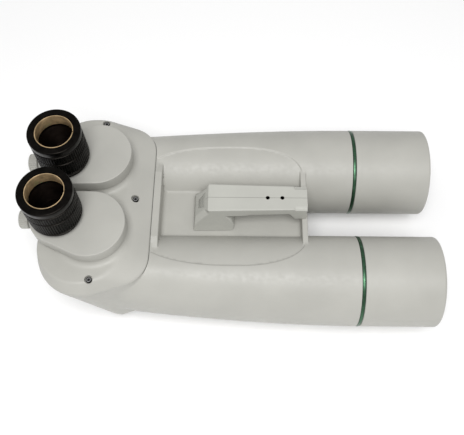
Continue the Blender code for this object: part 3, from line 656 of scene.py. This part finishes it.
def make_turret(label, side):
    """The swinging cap with its neck and finger grip, the holder on it and the thumb knob."""
    pivot = turret_frame(label)
    body = f"turret_{label}"
    rings = []
    for turn in np.linspace(0, math.pi / 2, 5):
        rings.append(teardrop(0.7 * (1 - math.sin(turn)), TURRET_BOTTOM + 0.7 * (1 - math.cos(turn))))
    for turn in np.linspace(0, math.pi / 2, 7):
        rings.append(teardrop(0.9 * (1 - math.cos(turn)), TURRET_TOP - 0.9 + 0.9 * math.sin(turn)))
    points, faces = loft(rings)
    turret = new_object(f"turret_cap_{label}", moved(points, pivot), faces)
    add(turret, round_prism("neck", [(0, 0, NECK_RADIUS)], 43.0, TURRET_BOTTOM + 2, pivot))

    tip = (0, -EYEPIECE_OFFSET)
    x, y, _ = HOLDERS[label]
    stud = Matrix.Translation((x, y, KNOBS[label].z)) @ Matrix.Rotation(math.pi / 2, 4, "X")
    tools = [
        round_prism("cavity", [(0, 0, 26.0), (*tip, 22.0)], 60.0, 70.3, pivot, 192),
        round_prism("bore", [(0, 0, 24.0)], 40.0, 61.0, pivot),
        round_prism("light", [(*tip, 14.98)], 68.0, 75.0, pivot),
        round_prism("stud_hole", [(0, 0, 2.3)], 15.0, 30.0, stud, 32),
    ]
    holder = Matrix.Translation((x, y, 0))
    for degrees in GRIP_ANGLES:
        turn = math.radians(degrees)
        place = (side * GRIP_RADIUS * math.cos(turn), GRIP_RADIUS * math.sin(turn), 0.65)
        tools.append(round_prism("grip_groove", [place], TURRET_BOTTOM + 1.6, TURRET_TOP - 1.8, holder, 20))
    cut(turret, *tools)
    finished(shaded(turret, 28), PAINT, body, "warm_grey_paint", f"turret_housing_{label}")
    make_holder(label, body, holder)

    knob = [(0.0, 24.0), (2.0, 24.0), (2.0, 26.2), (7.4, 26.2), (8.2, 26.6), (8.5, 27.2)]
    knob += [(8.5, 27.6), (8.5, 32.6), (8.5, 33.0), (8.3, 33.7), (7.6, 34.3), (7.0, 34.5)]
    knob += [(6.6, 34.2), (6.0, 34.1), (0.0, 34.4)]
    finished(turned(f"thumb_knob_{label}", knob, 96, [(27.3, 32.9, 0.8)], stud),
             KNOB_PAINT, f"knob_{label}", "warm_grey_paint", f"lock_knob_{label}")


def make_holder(label, body, place):
    """The focuser on one turret, from its seat up to the brass liner."""
    base = [(19.3, 72.3), (20.1, 72.3), (20.4, 72.6), (20.4, 77.4), (20.1, 77.8), (19.3, 77.8)]
    finished(turned(f"focuser_seat_{label}", rounded(base, 0.3, 3), 180, matrix=place),
             BLACK_TURNED, body, "black_anodised", f"focuser_base_{label}")

    grip = [(19.3, 78.1), (22.7, 78.1), (23.1, 78.5), (23.1, 79.6)]
    grip += [(22.5, 79.9), (22.5, 80.4), (23.2, 80.7)]
    grip += [(HOLDER_RADIUS, z) for z in (81.0, 81.4, 90.0, 97.3, 97.7)]
    grip += [(23.2, 98.0), (22.5, 98.4), (22.3, 98.7), (19.3, 98.7)]
    finished(turned(f"focus_grip_{label}", grip, RIBBED_SEGMENTS, [(81.2, 97.6, 0.8)], place),
             BLACK_KNURLED, f"focus_{label}", "black_anodised", f"focus_ring_{label}")

    collar = [(19.2, 99.0), (22.4, 99.0), (22.5, 99.4)]
    collar += [(HOLDER_RADIUS, z) for z in (99.7, 100.0, 104.6, 109.2)]
    collar += [(23.2, 109.6), (22.2, 110.0), (22.2, 110.8), (23.1, 111.2)]
    collar += [(HOLDER_RADIUS, 111.8), (HOLDER_RADIUS, 116.0)]
    for t in np.linspace(0.15, 1.57, 6):
        collar.append((HOLDER_RADIUS - 1.2 * (1 - math.cos(t)), 116.3 + 1.2 * math.sin(t)))
    collar += [(17.2, 117.5), (16.9, 117.1), (16.9, 115.5), (19.2, 115.5)]
    finished(turned(f"clamp_collar_{label}", collar, RIBBED_SEGMENTS, [(99.6, 109.4, 0.8)], place),
             BLACK_KNURLED, f"clamp_{label}", "black_anodised", f"clamp_ring_{label}")

    tube = [(9.5, 74.4), (9.5, 72.6), (18.9, 72.6), (18.9, 115.2), (17.53, 115.2)]
    tube += [(17.53, 104.9), (SOCKET_RADIUS, 104.9), (SOCKET_RADIUS, 103.4)]
    grooves, groove = 26, 1.1
    for i in range(grooves):
        z = 102.9 - groove * i
        tube += [(SOCKET_RADIUS, z), (16.5, z - groove / 2)]
    tube.append((SOCKET_RADIUS, 74.4))
    finished(turned(f"draw_barrel_{label}", tube, 144, matrix=place),
             BLACK_TURNED, f"draw_{label}", "black_anodised", f"draw_tube_{label}")

    liner = [(SOCKET_RADIUS, 105.2), (17.23, 105.2), (17.23, 115.0)]
    liner += [(16.6, 115.3), (16.6, 117.2), (SOCKET_RADIUS, 117.2)]
    brass = turned(f"brass_liner_{label}", rounded(liner, 0.2, 2), 180, matrix=place)
    x, y = HOLDERS[label].x, HOLDERS[label].y
    slit = block("slit", (x - 0.5, x + 0.5), (y + 10, y + 20), (100, 120))
    turn = Matrix.Rotation(math.radians(-60), 4, "Z") @ Matrix.Rotation(-math.pi / 2, 4, "Y")
    pin = Matrix.Translation((x, y, 111.5)) @ turn
    cut(brass, slit, round_prism("pin_hole", [(0, 0, 1.3)], 12.0, 20.0, pin, 32))
    finished(shaded(brass), BRASS, f"draw_{label}", "brass", f"brass_ring_{label}")


# ---------------------------------------------------------------- handle

HANDLE_TOP, HANDLE_FRONT, HANDLE_REAR = 54.5, -122.5, -213.5
SLOPE_FOOT = (-226.1, 37.0)
HANDLE_SIDE = np.array([
    (HANDLE_REAR, HANDLE_TOP), (HANDLE_FRONT, HANDLE_TOP), (HANDLE_FRONT, WALL_TOP + 0.3),
    (-133.0, WALL_TOP + 0.3), (-139.0, 45.5), (-197.0, 43.0), (-192.0, 36.0), (-189.6, 29.0),
    (-190.6, WEB_HIGH + 0.3), (-228.3, WEB_HIGH + 0.3), SLOPE_FOOT,
])
HANDLE_CHAMFER = 3.8
FLARE_BACK, FLARE_TOP, FLARE_HALF, FLARE_STEP = -136.0, 53.3, 12.4, 9.4
CROSS_SCREWS = {"rear": (-204.0, 38.0), "front": (-131.0, 47.0)}
WINDOW = (0.0, -220.2, 45.2)
SIGHT_YS, SIGHT_RADIUS = (-158.8, -145.4), 1.9


def handle_half_width(y, z):
    """Wider at the rear and towards the foot than along the grip."""
    along = np.clip((y - HANDLE_REAR) / (HANDLE_FRONT - HANDLE_REAR), 0, None)
    down = np.clip((HANDLE_TOP - z) / (HANDLE_TOP - WEB_HIGH), 0, None)
    return 14.1 - 2.1 * along + 4.5 * down ** 2 * (along < 0.4)


def polygon_distance(a, b, corners):
    """Signed distance to a closed outline, below nought inside it."""
    nearest = np.full(len(a), np.inf)
    inside = np.zeros(len(a), bool)
    for (a0, b0), (a1, b1) in zip(corners, np.roll(corners, -1, axis=0)):
        da, db = a1 - a0, b1 - b0
        share = np.clip(((a - a0) * da + (b - b0) * db) / (da * da + db * db), 0, 1)
        nearest = np.minimum(nearest, np.hypot(a - a0 - share * da, b - b0 - share * db))
        spans = (b0 > b) != (b1 > b)
        inside ^= spans & (a < a0 + (b - b0) * da / (db if db else 1.0))
    return np.where(inside, -nearest, nearest)


def handle_distance(points):
    """Distance to the whole handle before it is parted: chamfered behind and flared in front."""
    x, y, z = np.abs(points[:, 0]), points[:, 1], points[:, 2]
    side = polygon_distance(y, z, HANDLE_SIDE)
    width = x - handle_half_width(y, z)
    slope = np.array(SLOPE_FOOT) - (HANDLE_REAR, HANDLE_TOP)
    slope /= np.linalg.norm(slope)
    behind = (y - HANDLE_REAR) * slope[1] - (z - HANDLE_TOP) * slope[0]
    reach = HANDLE_CHAMFER * np.clip((HANDLE_TOP + 0.5 - z) / 5.0, 0, 1)
    chamfer = (width + behind + reach) * math.sqrt(0.5)
    step = (x - FLARE_STEP) + 8.0 * np.clip((FLARE_BACK - y) / 1.5, 0, 1)
    grip = smooth_max(smooth_max(side, width, 0.9), chamfer, 0.5)
    narrowed = smooth_max(grip, step, 0.4)
    flare = smooth_max(side, smooth_max(x - FLARE_HALF, z - FLARE_TOP, 0.9), 0.5)
    flare = smooth_max(flare, FLARE_BACK - y, 0.5)
    return np.minimum(np.where(y > FLARE_BACK + 1.5, narrowed, grip), flare)


def window_slab(top_half, bottom_half, half_length, low, high):
    """A slab that narrows downwards, lying in the sloping rear face of the handle."""
    pitch = math.atan2(HANDLE_TOP - SLOPE_FOOT[1], HANDLE_REAR - SLOPE_FOOT[0])
    slope = Matrix.Rotation(pitch, 4, "X")
    corners = [(-bottom_half, -half_length), (bottom_half, -half_length)]
    corners += [(top_half, half_length), (-top_half, half_length)]
    points, faces = loft([at_height(corners, z) for z in (low, high)])
    return moved(points, Matrix.Translation(WINDOW) @ slope), faces


def make_handle():
    """Two half shells, the gridded window in their rear slope and the inserts in their seam."""
    widest = 18.6
    for label, side in SIDES.items():
        skins = [[(x, y, z) for y, z in HANDLE_SIDE] for x in (-widest, widest)]
        voxel = 0.9
        shell = cast(f"handle_shell_{label}", [new_object("lump", *loft(skins))], handle_distance, voxel)
        tools = [block("half", sorted((side * 0.15, -side * 40.0)), (-260, -100), (0, 80))]
        tools += [cylinder("sight", 0, y, 40.0, 60, SIGHT_RADIUS) for y in SIGHT_YS]
        tools.append(cylinder("foot", side * HANDLE_SCREW_X, HANDLE_SCREW_Y, 0, 33, 1.9))
        tools.append(new_object("pocket", *window_slab(8.0, 4.4, 6.2, -1.6, 6.0)))
        for y, z in CROSS_SCREWS.values():
            across = Matrix.Translation((0, y, z)) @ Matrix.Rotation(-math.pi / 2, 4, "Y")
            tools.append(round_prism("cross", [(0, 0, 1.8)], -10.5, 30.0, across, 40))
            tools.append(round_prism("cross_seat", [(0, 0, 3.3)], 8.5, 30.0, across, 40))
        cut(shell, *tools)
        smooth_casting(shell, handle_distance)
        finished(shell, HANDLE_PLASTIC, "body", "grey_plastic", f"handle_{label}")
    window = new_object("window_plate", *window_slab(7.8, 4.2, 6.0, -1.4, -0.4))
    finished(shaded(bevelled(window, 0.2, 2)), DARK_PLASTIC, "body", "dark_grey_plastic", "sight_window")
    cup = [(0.0, 46.5), (1.8, 46.5), (1.8, 54.1), (1.45, 54.1), (1.45, 47.2), (0.0, 47.2)]
    for end, y in zip(("rear", "front"), SIGHT_YS):
        insert = turned(f"grip_insert_{end}", cup, 32, matrix=Matrix.Translation((0, y, 0)))
        finished(insert, BLACK_TURNED, "body", "black_anodised")


# ---------------------------------------------------------------- tripod foot

FLANGE = mirrored(28.0, -243.0, 2.0) + mirrored(28.0, -147.0, 2.0)
STEM = mirrored(10.0, -238.0, 3.0) + mirrored(10.0, -152.0, 3.0)
INSERT_Y, INSERT_BORE = -195.0, 4.76


def make_foot():
    """The plate under the web, on a filleted stem, with its screw holes and threaded insert."""
    rings = []
    for turn in (math.pi / 2 * i / 3 for i in range(4)):
        flat = outline(FLANGE, 0.8 * (1 - math.sin(turn)))
        rings.append(at_height(flat, SOLE_Z + 0.8 * (1 - math.cos(turn))))
    for turn in (math.pi / 2 * i / 4 for i in range(5)):
        flat = outline(FLANGE, 1.2 * (1 - math.cos(turn)))
        rings.append(at_height(flat, SOLE_Z + 4.8 + 1.2 * math.sin(turn)))
    foot = new_object("foot_plate", *loft(rings))
    steps = [(-5.0, SOLE_Z + 3.0)]
    for turn in np.linspace(0, math.pi / 2, 8):
        steps.append((-5.0 * (1 - math.sin(turn)), SOLE_Z + 5.9 + 5.0 * (1 - math.cos(turn))))
    steps.append((0.0, WEB_LOW - 0.3))
    add(foot, new_object("stem", *loft([at_height(outline(STEM, inset), z) for inset, z in steps])))
    tools = []
    for y in FOOT_SCREW_YS.values():
        tools.append(cylinder("hole", 0, y, SOLE_Z - 1, 30, FOOT_HOLE_RADIUS))
        tools.append(cylinder("bore", 0, y, SOLE_Z - 2, SOLE_Z + 5.5, 4.6))
    tools.append(cylinder("seat", 0, INSERT_Y, SOLE_Z - 1, SOLE_Z + 16, 6.3))
    cut(foot, *tools)
    finished(shaded(foot, 28), PAINT, "body", "warm_grey_paint", "tripod_foot")
    insert = [(INSERT_BORE, SOLE_Z + 0.5), (6.0, SOLE_Z + 0.5)]
    insert += [(6.0, SOLE_Z + 15.5), (INSERT_BORE, SOLE_Z + 15.5)]
    threads, pitch = 11, 1.27
    for i in range(threads):
        z = SOLE_Z + 15.0 - pitch * i
        insert += [(INSERT_BORE, z), (5.3, z - 0.6)]
    bush = turned("threaded_insert", insert, 64, matrix=Matrix.Translation((0, INSERT_Y, 0)))
    finished(bush, STEEL, "body", "steel", "thread_insert")


def make_screws():
    for label, (x, y, seat) in COVER_SCREWS.items():
        cap_screw(f"cap_screw_{label}", f"cover_screw_{label}", 2.7, 2.0, 1.5, 18.0,
                  Matrix.Translation((x, y, seat + 0.3)))
    flip = Matrix.Rotation(math.pi, 4, "X")
    for label, y in FOOT_SCREW_YS.items():
        cap_screw(f"sole_screw_{label}", f"foot_screw_{label}", 4.2, 4.0, 2.4, 61.0,
                  Matrix.Translation((0, y, SOLE_Z + 5.2)) @ flip)
    for label, side in SIDES.items():
        cap_screw(f"grip_screw_{label}", f"handle_foot_screw_{label}", 3.0, 2.4, 1.5, 15.0,
                  Matrix.Translation((side * HANDLE_SCREW_X, HANDLE_SCREW_Y, WEB_LOW + 2.7)) @ flip)
    sideways = Matrix.Rotation(-math.pi / 2, 4, "Y")
    for label, (y, z) in CROSS_SCREWS.items():
        cap_screw(f"side_screw_{label}", f"handle_cross_screw_{label}", 2.8, 2.2, 1.4, 18.5,
                  Matrix.Translation((-8.8, y, z)) @ sideways, CROSS_SCREW_STEEL)


# ---------------------------------------------------------------- materials

def new_material(name, base, roughness, metallic=0.0, **sockets):
    material = bpy.data.materials.new(name)
    material.use_nodes = True
    tree = material.node_tree
    shader = tree.nodes["Principled BSDF"]
    shader.inputs["Base Color"].default_value = (*base, 1.0)
    shader.inputs["Roughness"].default_value = roughness
    shader.inputs["Metallic"].default_value = metallic
    for socket, value in sockets.items():
        shader.inputs[socket.replace("_", " ")].default_value = value
    return material, tree, shader


def noise(tree, scale, detail=2.0, roughness=0.5):
    coordinates = tree.nodes.new("ShaderNodeTexCoord")
    texture = tree.nodes.new("ShaderNodeTexNoise")
    texture.inputs["Scale"].default_value = scale
    texture.inputs["Detail"].default_value = detail
    texture.inputs["Roughness"].default_value = roughness
    tree.links.new(coordinates.outputs["Object"], texture.inputs["Vector"])
    return texture.outputs["Fac"]


def ramp(tree, value, low, high, at=(0.35, 0.65)):
    """Maps a value to a grey or a colour between low and high."""
    node = tree.nodes.new("ShaderNodeValToRGB")
    for element, position, colour in zip(node.color_ramp.elements, at, (low, high)):
        element.position = position
        element.color = (*colour, 1.0) if hasattr(colour, "__len__") else (colour, colour, colour, 1.0)
    tree.links.new(value, node.inputs["Fac"])
    return node.outputs["Color"]


def bump(tree, shader, height, strength, distance):
    node = tree.nodes.new("ShaderNodeBump")
    node.inputs["Strength"].default_value = strength
    node.inputs["Distance"].default_value = distance
    tree.links.new(height, node.inputs["Height"])
    if shader.inputs["Normal"].links:
        tree.links.new(shader.inputs["Normal"].links[0].from_socket, node.inputs["Normal"])
    tree.links.new(node.outputs["Normal"], shader.inputs["Normal"])


def painted(name, base, roughness=0.45, grain=0.5, grain_size=0.0006):
    """A satin coat: faint clouding, uneven gloss and a fine orange-peel grain."""
    material, tree, shader = new_material(name, base, roughness, Specular_IOR_Level=0.4)
    darker = tuple(c * 0.955 for c in base)
    lighter = tuple(min(1.0, c * 1.03) for c in base)
    tree.links.new(ramp(tree, noise(tree, 22.0, 4.0), darker, lighter), shader.inputs["Base Color"])
    gloss = ramp(tree, noise(tree, 260.0, 3.0), roughness - 0.05, roughness + 0.07)
    tree.links.new(gloss, shader.inputs["Roughness"])
    bump(tree, shader, noise(tree, 1.0 / grain_size, 3.0, 0.6), grain, 0.00006)
    return material


def anodised(name, base, roughness, grooves, metallic=1.0, marks=0.2):
    """A dyed metal skin over fine tool marks."""
    material, tree, shader = new_material(name, base, roughness, metallic)
    darker, lighter = tuple(c * 0.75 for c in base), tuple(min(1.0, c * 1.3) for c in base)
    tree.links.new(ramp(tree, noise(tree, 160.0, 5.0), darker, lighter), shader.inputs["Base Color"])
    gloss = ramp(tree, noise(tree, 420.0, 4.0), roughness - 0.07, roughness + 0.09)
    tree.links.new(gloss, shader.inputs["Roughness"])
    coordinates = tree.nodes.new("ShaderNodeTexCoord")
    wave = tree.nodes.new("ShaderNodeTexWave")
    wave.bands_direction = grooves
    wave.inputs["Scale"].default_value = 900.0
    wave.inputs["Distortion"].default_value = 1.5
    wave.inputs["Detail"].default_value = 3.0
    tree.links.new(coordinates.outputs["Object"], wave.inputs["Vector"])
    bump(tree, shader, wave.outputs["Fac"], marks, 0.00003)
    return material


def math_node(tree, operation, first, second=None):
    node = tree.nodes.new("ShaderNodeMath")
    node.operation = operation
    for socket, value in zip(node.inputs, (first, second)):
        if isinstance(value, (int, float)):
            socket.default_value = value
        elif value is not None:
            tree.links.new(value, socket)
    return node.outputs[0]


def length_of(tree, first, second):
    squares = (math_node(tree, "MULTIPLY", value, value) for value in (first, second))
    return math_node(tree, "SQRT", math_node(tree, "ADD", *squares))


def blackened(name, *across):
    """Blackened steel with a painted highlight: a bright ring painted round the socket; across names the
    axes that span the head.
    """
    material, tree, shader = new_material(name, (0.02, 0.02, 0.02), 0.35, 0.9)
    coordinates = tree.nodes.new("ShaderNodeTexCoord")
    split = tree.nodes.new("ShaderNodeSeparateXYZ")
    tree.links.new(coordinates.outputs["Generated"], split.inputs[0])
    radius = length_of(tree, *(math_node(tree, "SUBTRACT", split.outputs[axis], 0.5) for axis in across))
    # Painted highlight: the base colour turns bright grey in a ring at 0.3 of the head's span, standing in
    # for the glint on the head.
    from_highlight_ring = math_node(tree, "ABSOLUTE", math_node(tree, "SUBTRACT", radius, 0.3))
    tree.links.new(ramp(tree, from_highlight_ring, 0.4, 0.012, (0.03, 0.09)), shader.inputs["Base Color"])
    tree.links.new(ramp(tree, noise(tree, 420.0, 4.0), 0.3, 0.45), shader.inputs["Roughness"])
    return material


def moulded_grid(name, base):
    """Dark plastic with a raised square grid."""
    material, tree, shader = new_material(name, base, 0.6)
    coordinates = tree.nodes.new("ShaderNodeTexCoord")
    brick = tree.nodes.new("ShaderNodeTexBrick")
    brick.offset = 0.0
    brick.inputs["Scale"].default_value = 1000.0
    brick.inputs["Brick Width"].default_value = 1.5
    brick.inputs["Row Height"].default_value = 1.5
    brick.inputs["Mortar Size"].default_value = 0.22
    brick.inputs["Color1"].default_value = (*base, 1.0)
    brick.inputs["Color2"].default_value = (*(c * 0.9 for c in base), 1.0)
    brick.inputs["Mortar"].default_value = (*(min(1.0, c * 2.2) for c in base), 1.0)
    tree.links.new(coordinates.outputs["Object"], brick.inputs["Vector"])
    tree.links.new(brick.outputs["Color"], shader.inputs["Base Color"])
    bump(tree, shader, brick.outputs["Fac"], 0.6, 0.0003)
    return material


def glass(name, tint):
    """Clear lens glass under a thin coloured coating."""
    material, tree, shader = new_material(name, tint, 0.02, 0.0, Transmission_Weight=1.0, IOR=1.52)
    shader.inputs["Thin Film Thickness"].default_value = 380.0
    shader.inputs["Thin Film IOR"].default_value = 1.38
    tree.links.new(ramp(tree, noise(tree, 300.0, 4.0), 0.005, 0.03), shader.inputs["Roughness"])
    return material


PAINT_COLOUR = (0.418, 0.413, 0.380)
PAINT = painted("body_paint", PAINT_COLOUR)
KNOB_PAINT = painted("knob_paint", PAINT_COLOUR, 0.4, 1.0, 0.0012)
HANDLE_PLASTIC = painted("handle_plastic", (0.447, 0.447, 0.410), 0.5, 0.6, 0.0004)
DARK_PLASTIC = moulded_grid("window_grid", (0.23, 0.23, 0.21))
BLACK_TURNED = anodised("black_turned", (0.008, 0.006, 0.005), 0.45, "Z")
BLACK_KNURLED = anodised("black_knurled", (0.010, 0.009, 0.008), 0.36, "Z")
GREEN = anodised("green_anodised", (0.042, 0.10, 0.056), 0.32, "Y", 0.8)
BRASS = anodised("turned_brass", (0.66, 0.48, 0.27), 0.36, "Z", 0.65, 0.03)
ALUMINIUM = anodised("machined_aluminium", (0.7, 0.7, 0.72), 0.35, "X")
STEEL = anodised("machined_steel", (0.55, 0.55, 0.56), 0.3, "Z")
SCREW_STEEL = blackened("blackened_steel", "X", "Y")
CROSS_SCREW_STEEL = blackened("blackened_cross_screw", "Y", "Z")
COATED_GLASS = glass("coated_glass", (0.93, 0.97, 0.94))
PRISM_GLASS = glass("prism_glass", (0.95, 0.97, 0.96))


def inside_matt():
    """Paint outside and matt black inside the hood, told apart by the distance from the tube's axis."""
    inner_radius = 0.0405
    material = painted("hood_paint", PAINT_COLOUR)
    tree = material.node_tree
    shader = tree.nodes["Principled BSDF"]
    coordinates = tree.nodes.new("ShaderNodeTexCoord")
    split = tree.nodes.new("ShaderNodeSeparateXYZ")
    tree.links.new(coordinates.outputs["Object"], split.inputs[0])

    across = math_node(tree, "SUBTRACT", math_node(tree, "ABSOLUTE", split.outputs["X"]), TUBE_X / METRE)
    above = math_node(tree, "SUBTRACT", split.outputs["Z"], TUBE_AXIS_Z / METRE)
    outside = math_node(tree, "GREATER_THAN", length_of(tree, across, above), inner_radius)
    mix = tree.nodes.new("ShaderNodeMix")
    mix.data_type = "RGBA"
    mix.inputs["A"].default_value = (0.012, 0.012, 0.012, 1.0)
    tree.links.new(outside, mix.inputs["Factor"])
    tree.links.new(shader.inputs["Base Color"].links[0].from_socket, mix.inputs["B"])
    tree.links.new(mix.outputs["Result"], shader.inputs["Base Color"])
    return material


SHIELD_PAINT = inside_matt()

CARRIED_OVER = {
    "lens_spacer": BLACK_TURNED, "retaining_ring": BLACK_TURNED, "baffle": BLACK_TURNED,
    "turning_prism": PRISM_GLASS, "lifting_prism": PRISM_GLASS, "rhomboid_prism": PRISM_GLASS,
    "prism_bracket": ALUMINIUM, "turret_bearing": ALUMINIUM, "turret_gear": BRASS,
}


# ---------------------------------------------------------------- studio

WORLD_STRENGTH, KEY_POWER = 0.52, 17.0
KEY_PLACE, KEY_SIZE, KEY_TARGET = (0.54, 0.02, 1.42), 0.8, (0.0, 0.0, 0.06)
FLOOR_REACH, FLOOR_Z = 4, -0.0005
CAMERA_PLACE = (0.28062, 0.00509, 0.62797)
CAMERA_AZIMUTH, CAMERA_ELEVATION, CAMERA_ROLL, CAMERA_LENS = 91.42, 63.62, -0.77, 50.27


def area_light(name, location, target, size, power):
    data = bpy.data.lights.new(name, "AREA")
    data.shape = "DISK"
    data.size = size
    data.energy = power
    lamp = bpy.data.objects.new(name, data)
    lamp.location = location
    lamp.rotation_euler = (Vector(target) - Vector(location)).to_track_quat("-Z", "Y").to_euler()
    bpy.context.scene.collection.objects.link(lamp)


def make_studio():
    world = bpy.data.worlds.new("studio")
    world.use_nodes = True
    world.node_tree.nodes["Background"].inputs["Color"].default_value = (1.0, 1.0, 1.0, 1.0)
    world.node_tree.nodes["Background"].inputs["Strength"].default_value = WORLD_STRENGTH
    bpy.context.scene.world = world
    bpy.context.scene.view_settings.view_transform = "Standard"
    area_light("key_light", KEY_PLACE, KEY_TARGET, KEY_SIZE, KEY_POWER)

    signs = ((-1, -1), (1, -1), (1, 1), (-1, 1))
    points = [(FLOOR_REACH * a, FLOOR_REACH * b, FLOOR_Z) for a, b in signs]
    mesh = bpy.data.meshes.new("floor")
    mesh.from_pydata(points, [], [(0, 1, 2, 3)])
    floor = bpy.data.objects.new("floor", mesh)
    bpy.context.scene.collection.objects.link(floor)
    material, _, _ = new_material("floor_white", (0.97, 0.97, 0.97), 0.9, Specular_IOR_Level=0.0)
    mesh.materials.append(material)


def make_camera():
    angles = (CAMERA_AZIMUTH, CAMERA_ELEVATION, CAMERA_ROLL)
    azimuth, elevation, roll = (math.radians(angle) for angle in angles)
    level_reach = math.cos(elevation)
    back = Vector((math.sin(azimuth) * level_reach, -math.cos(azimuth) * level_reach, math.sin(elevation)))
    level = Vector((0, 0, 1)).cross(back).normalized()
    upward = back.cross(level)
    right = level * math.cos(roll) + upward * math.sin(roll)
    up = upward * math.cos(roll) - level * math.sin(roll)
    data = bpy.data.cameras.new("camera")
    data.lens = CAMERA_LENS
    data.sensor_width = 36.0
    camera = bpy.data.objects.new("camera", data)
    turn = Matrix((right, up, back)).transposed().to_4x4()
    camera.matrix_world = Matrix.Translation(CAMERA_PLACE) @ turn
    bpy.context.scene.collection.objects.link(camera)
    bpy.context.scene.camera = camera


# ---------------------------------------------------------------- assembly

make_body()
make_cover()
make_screws()
make_handle()
make_foot()
for side_name, sign in SIDES.items():
    make_objective(side_name, sign)
    make_turret(side_name, sign)
for kind, material in CARRIED_OVER.items():
    for side_name in SIDES:
        mesh = frame["nodes"][f"{kind}_{side_name}"].data
        mesh.materials.clear()
        mesh.materials.append(material)
make_studio()
make_camera()
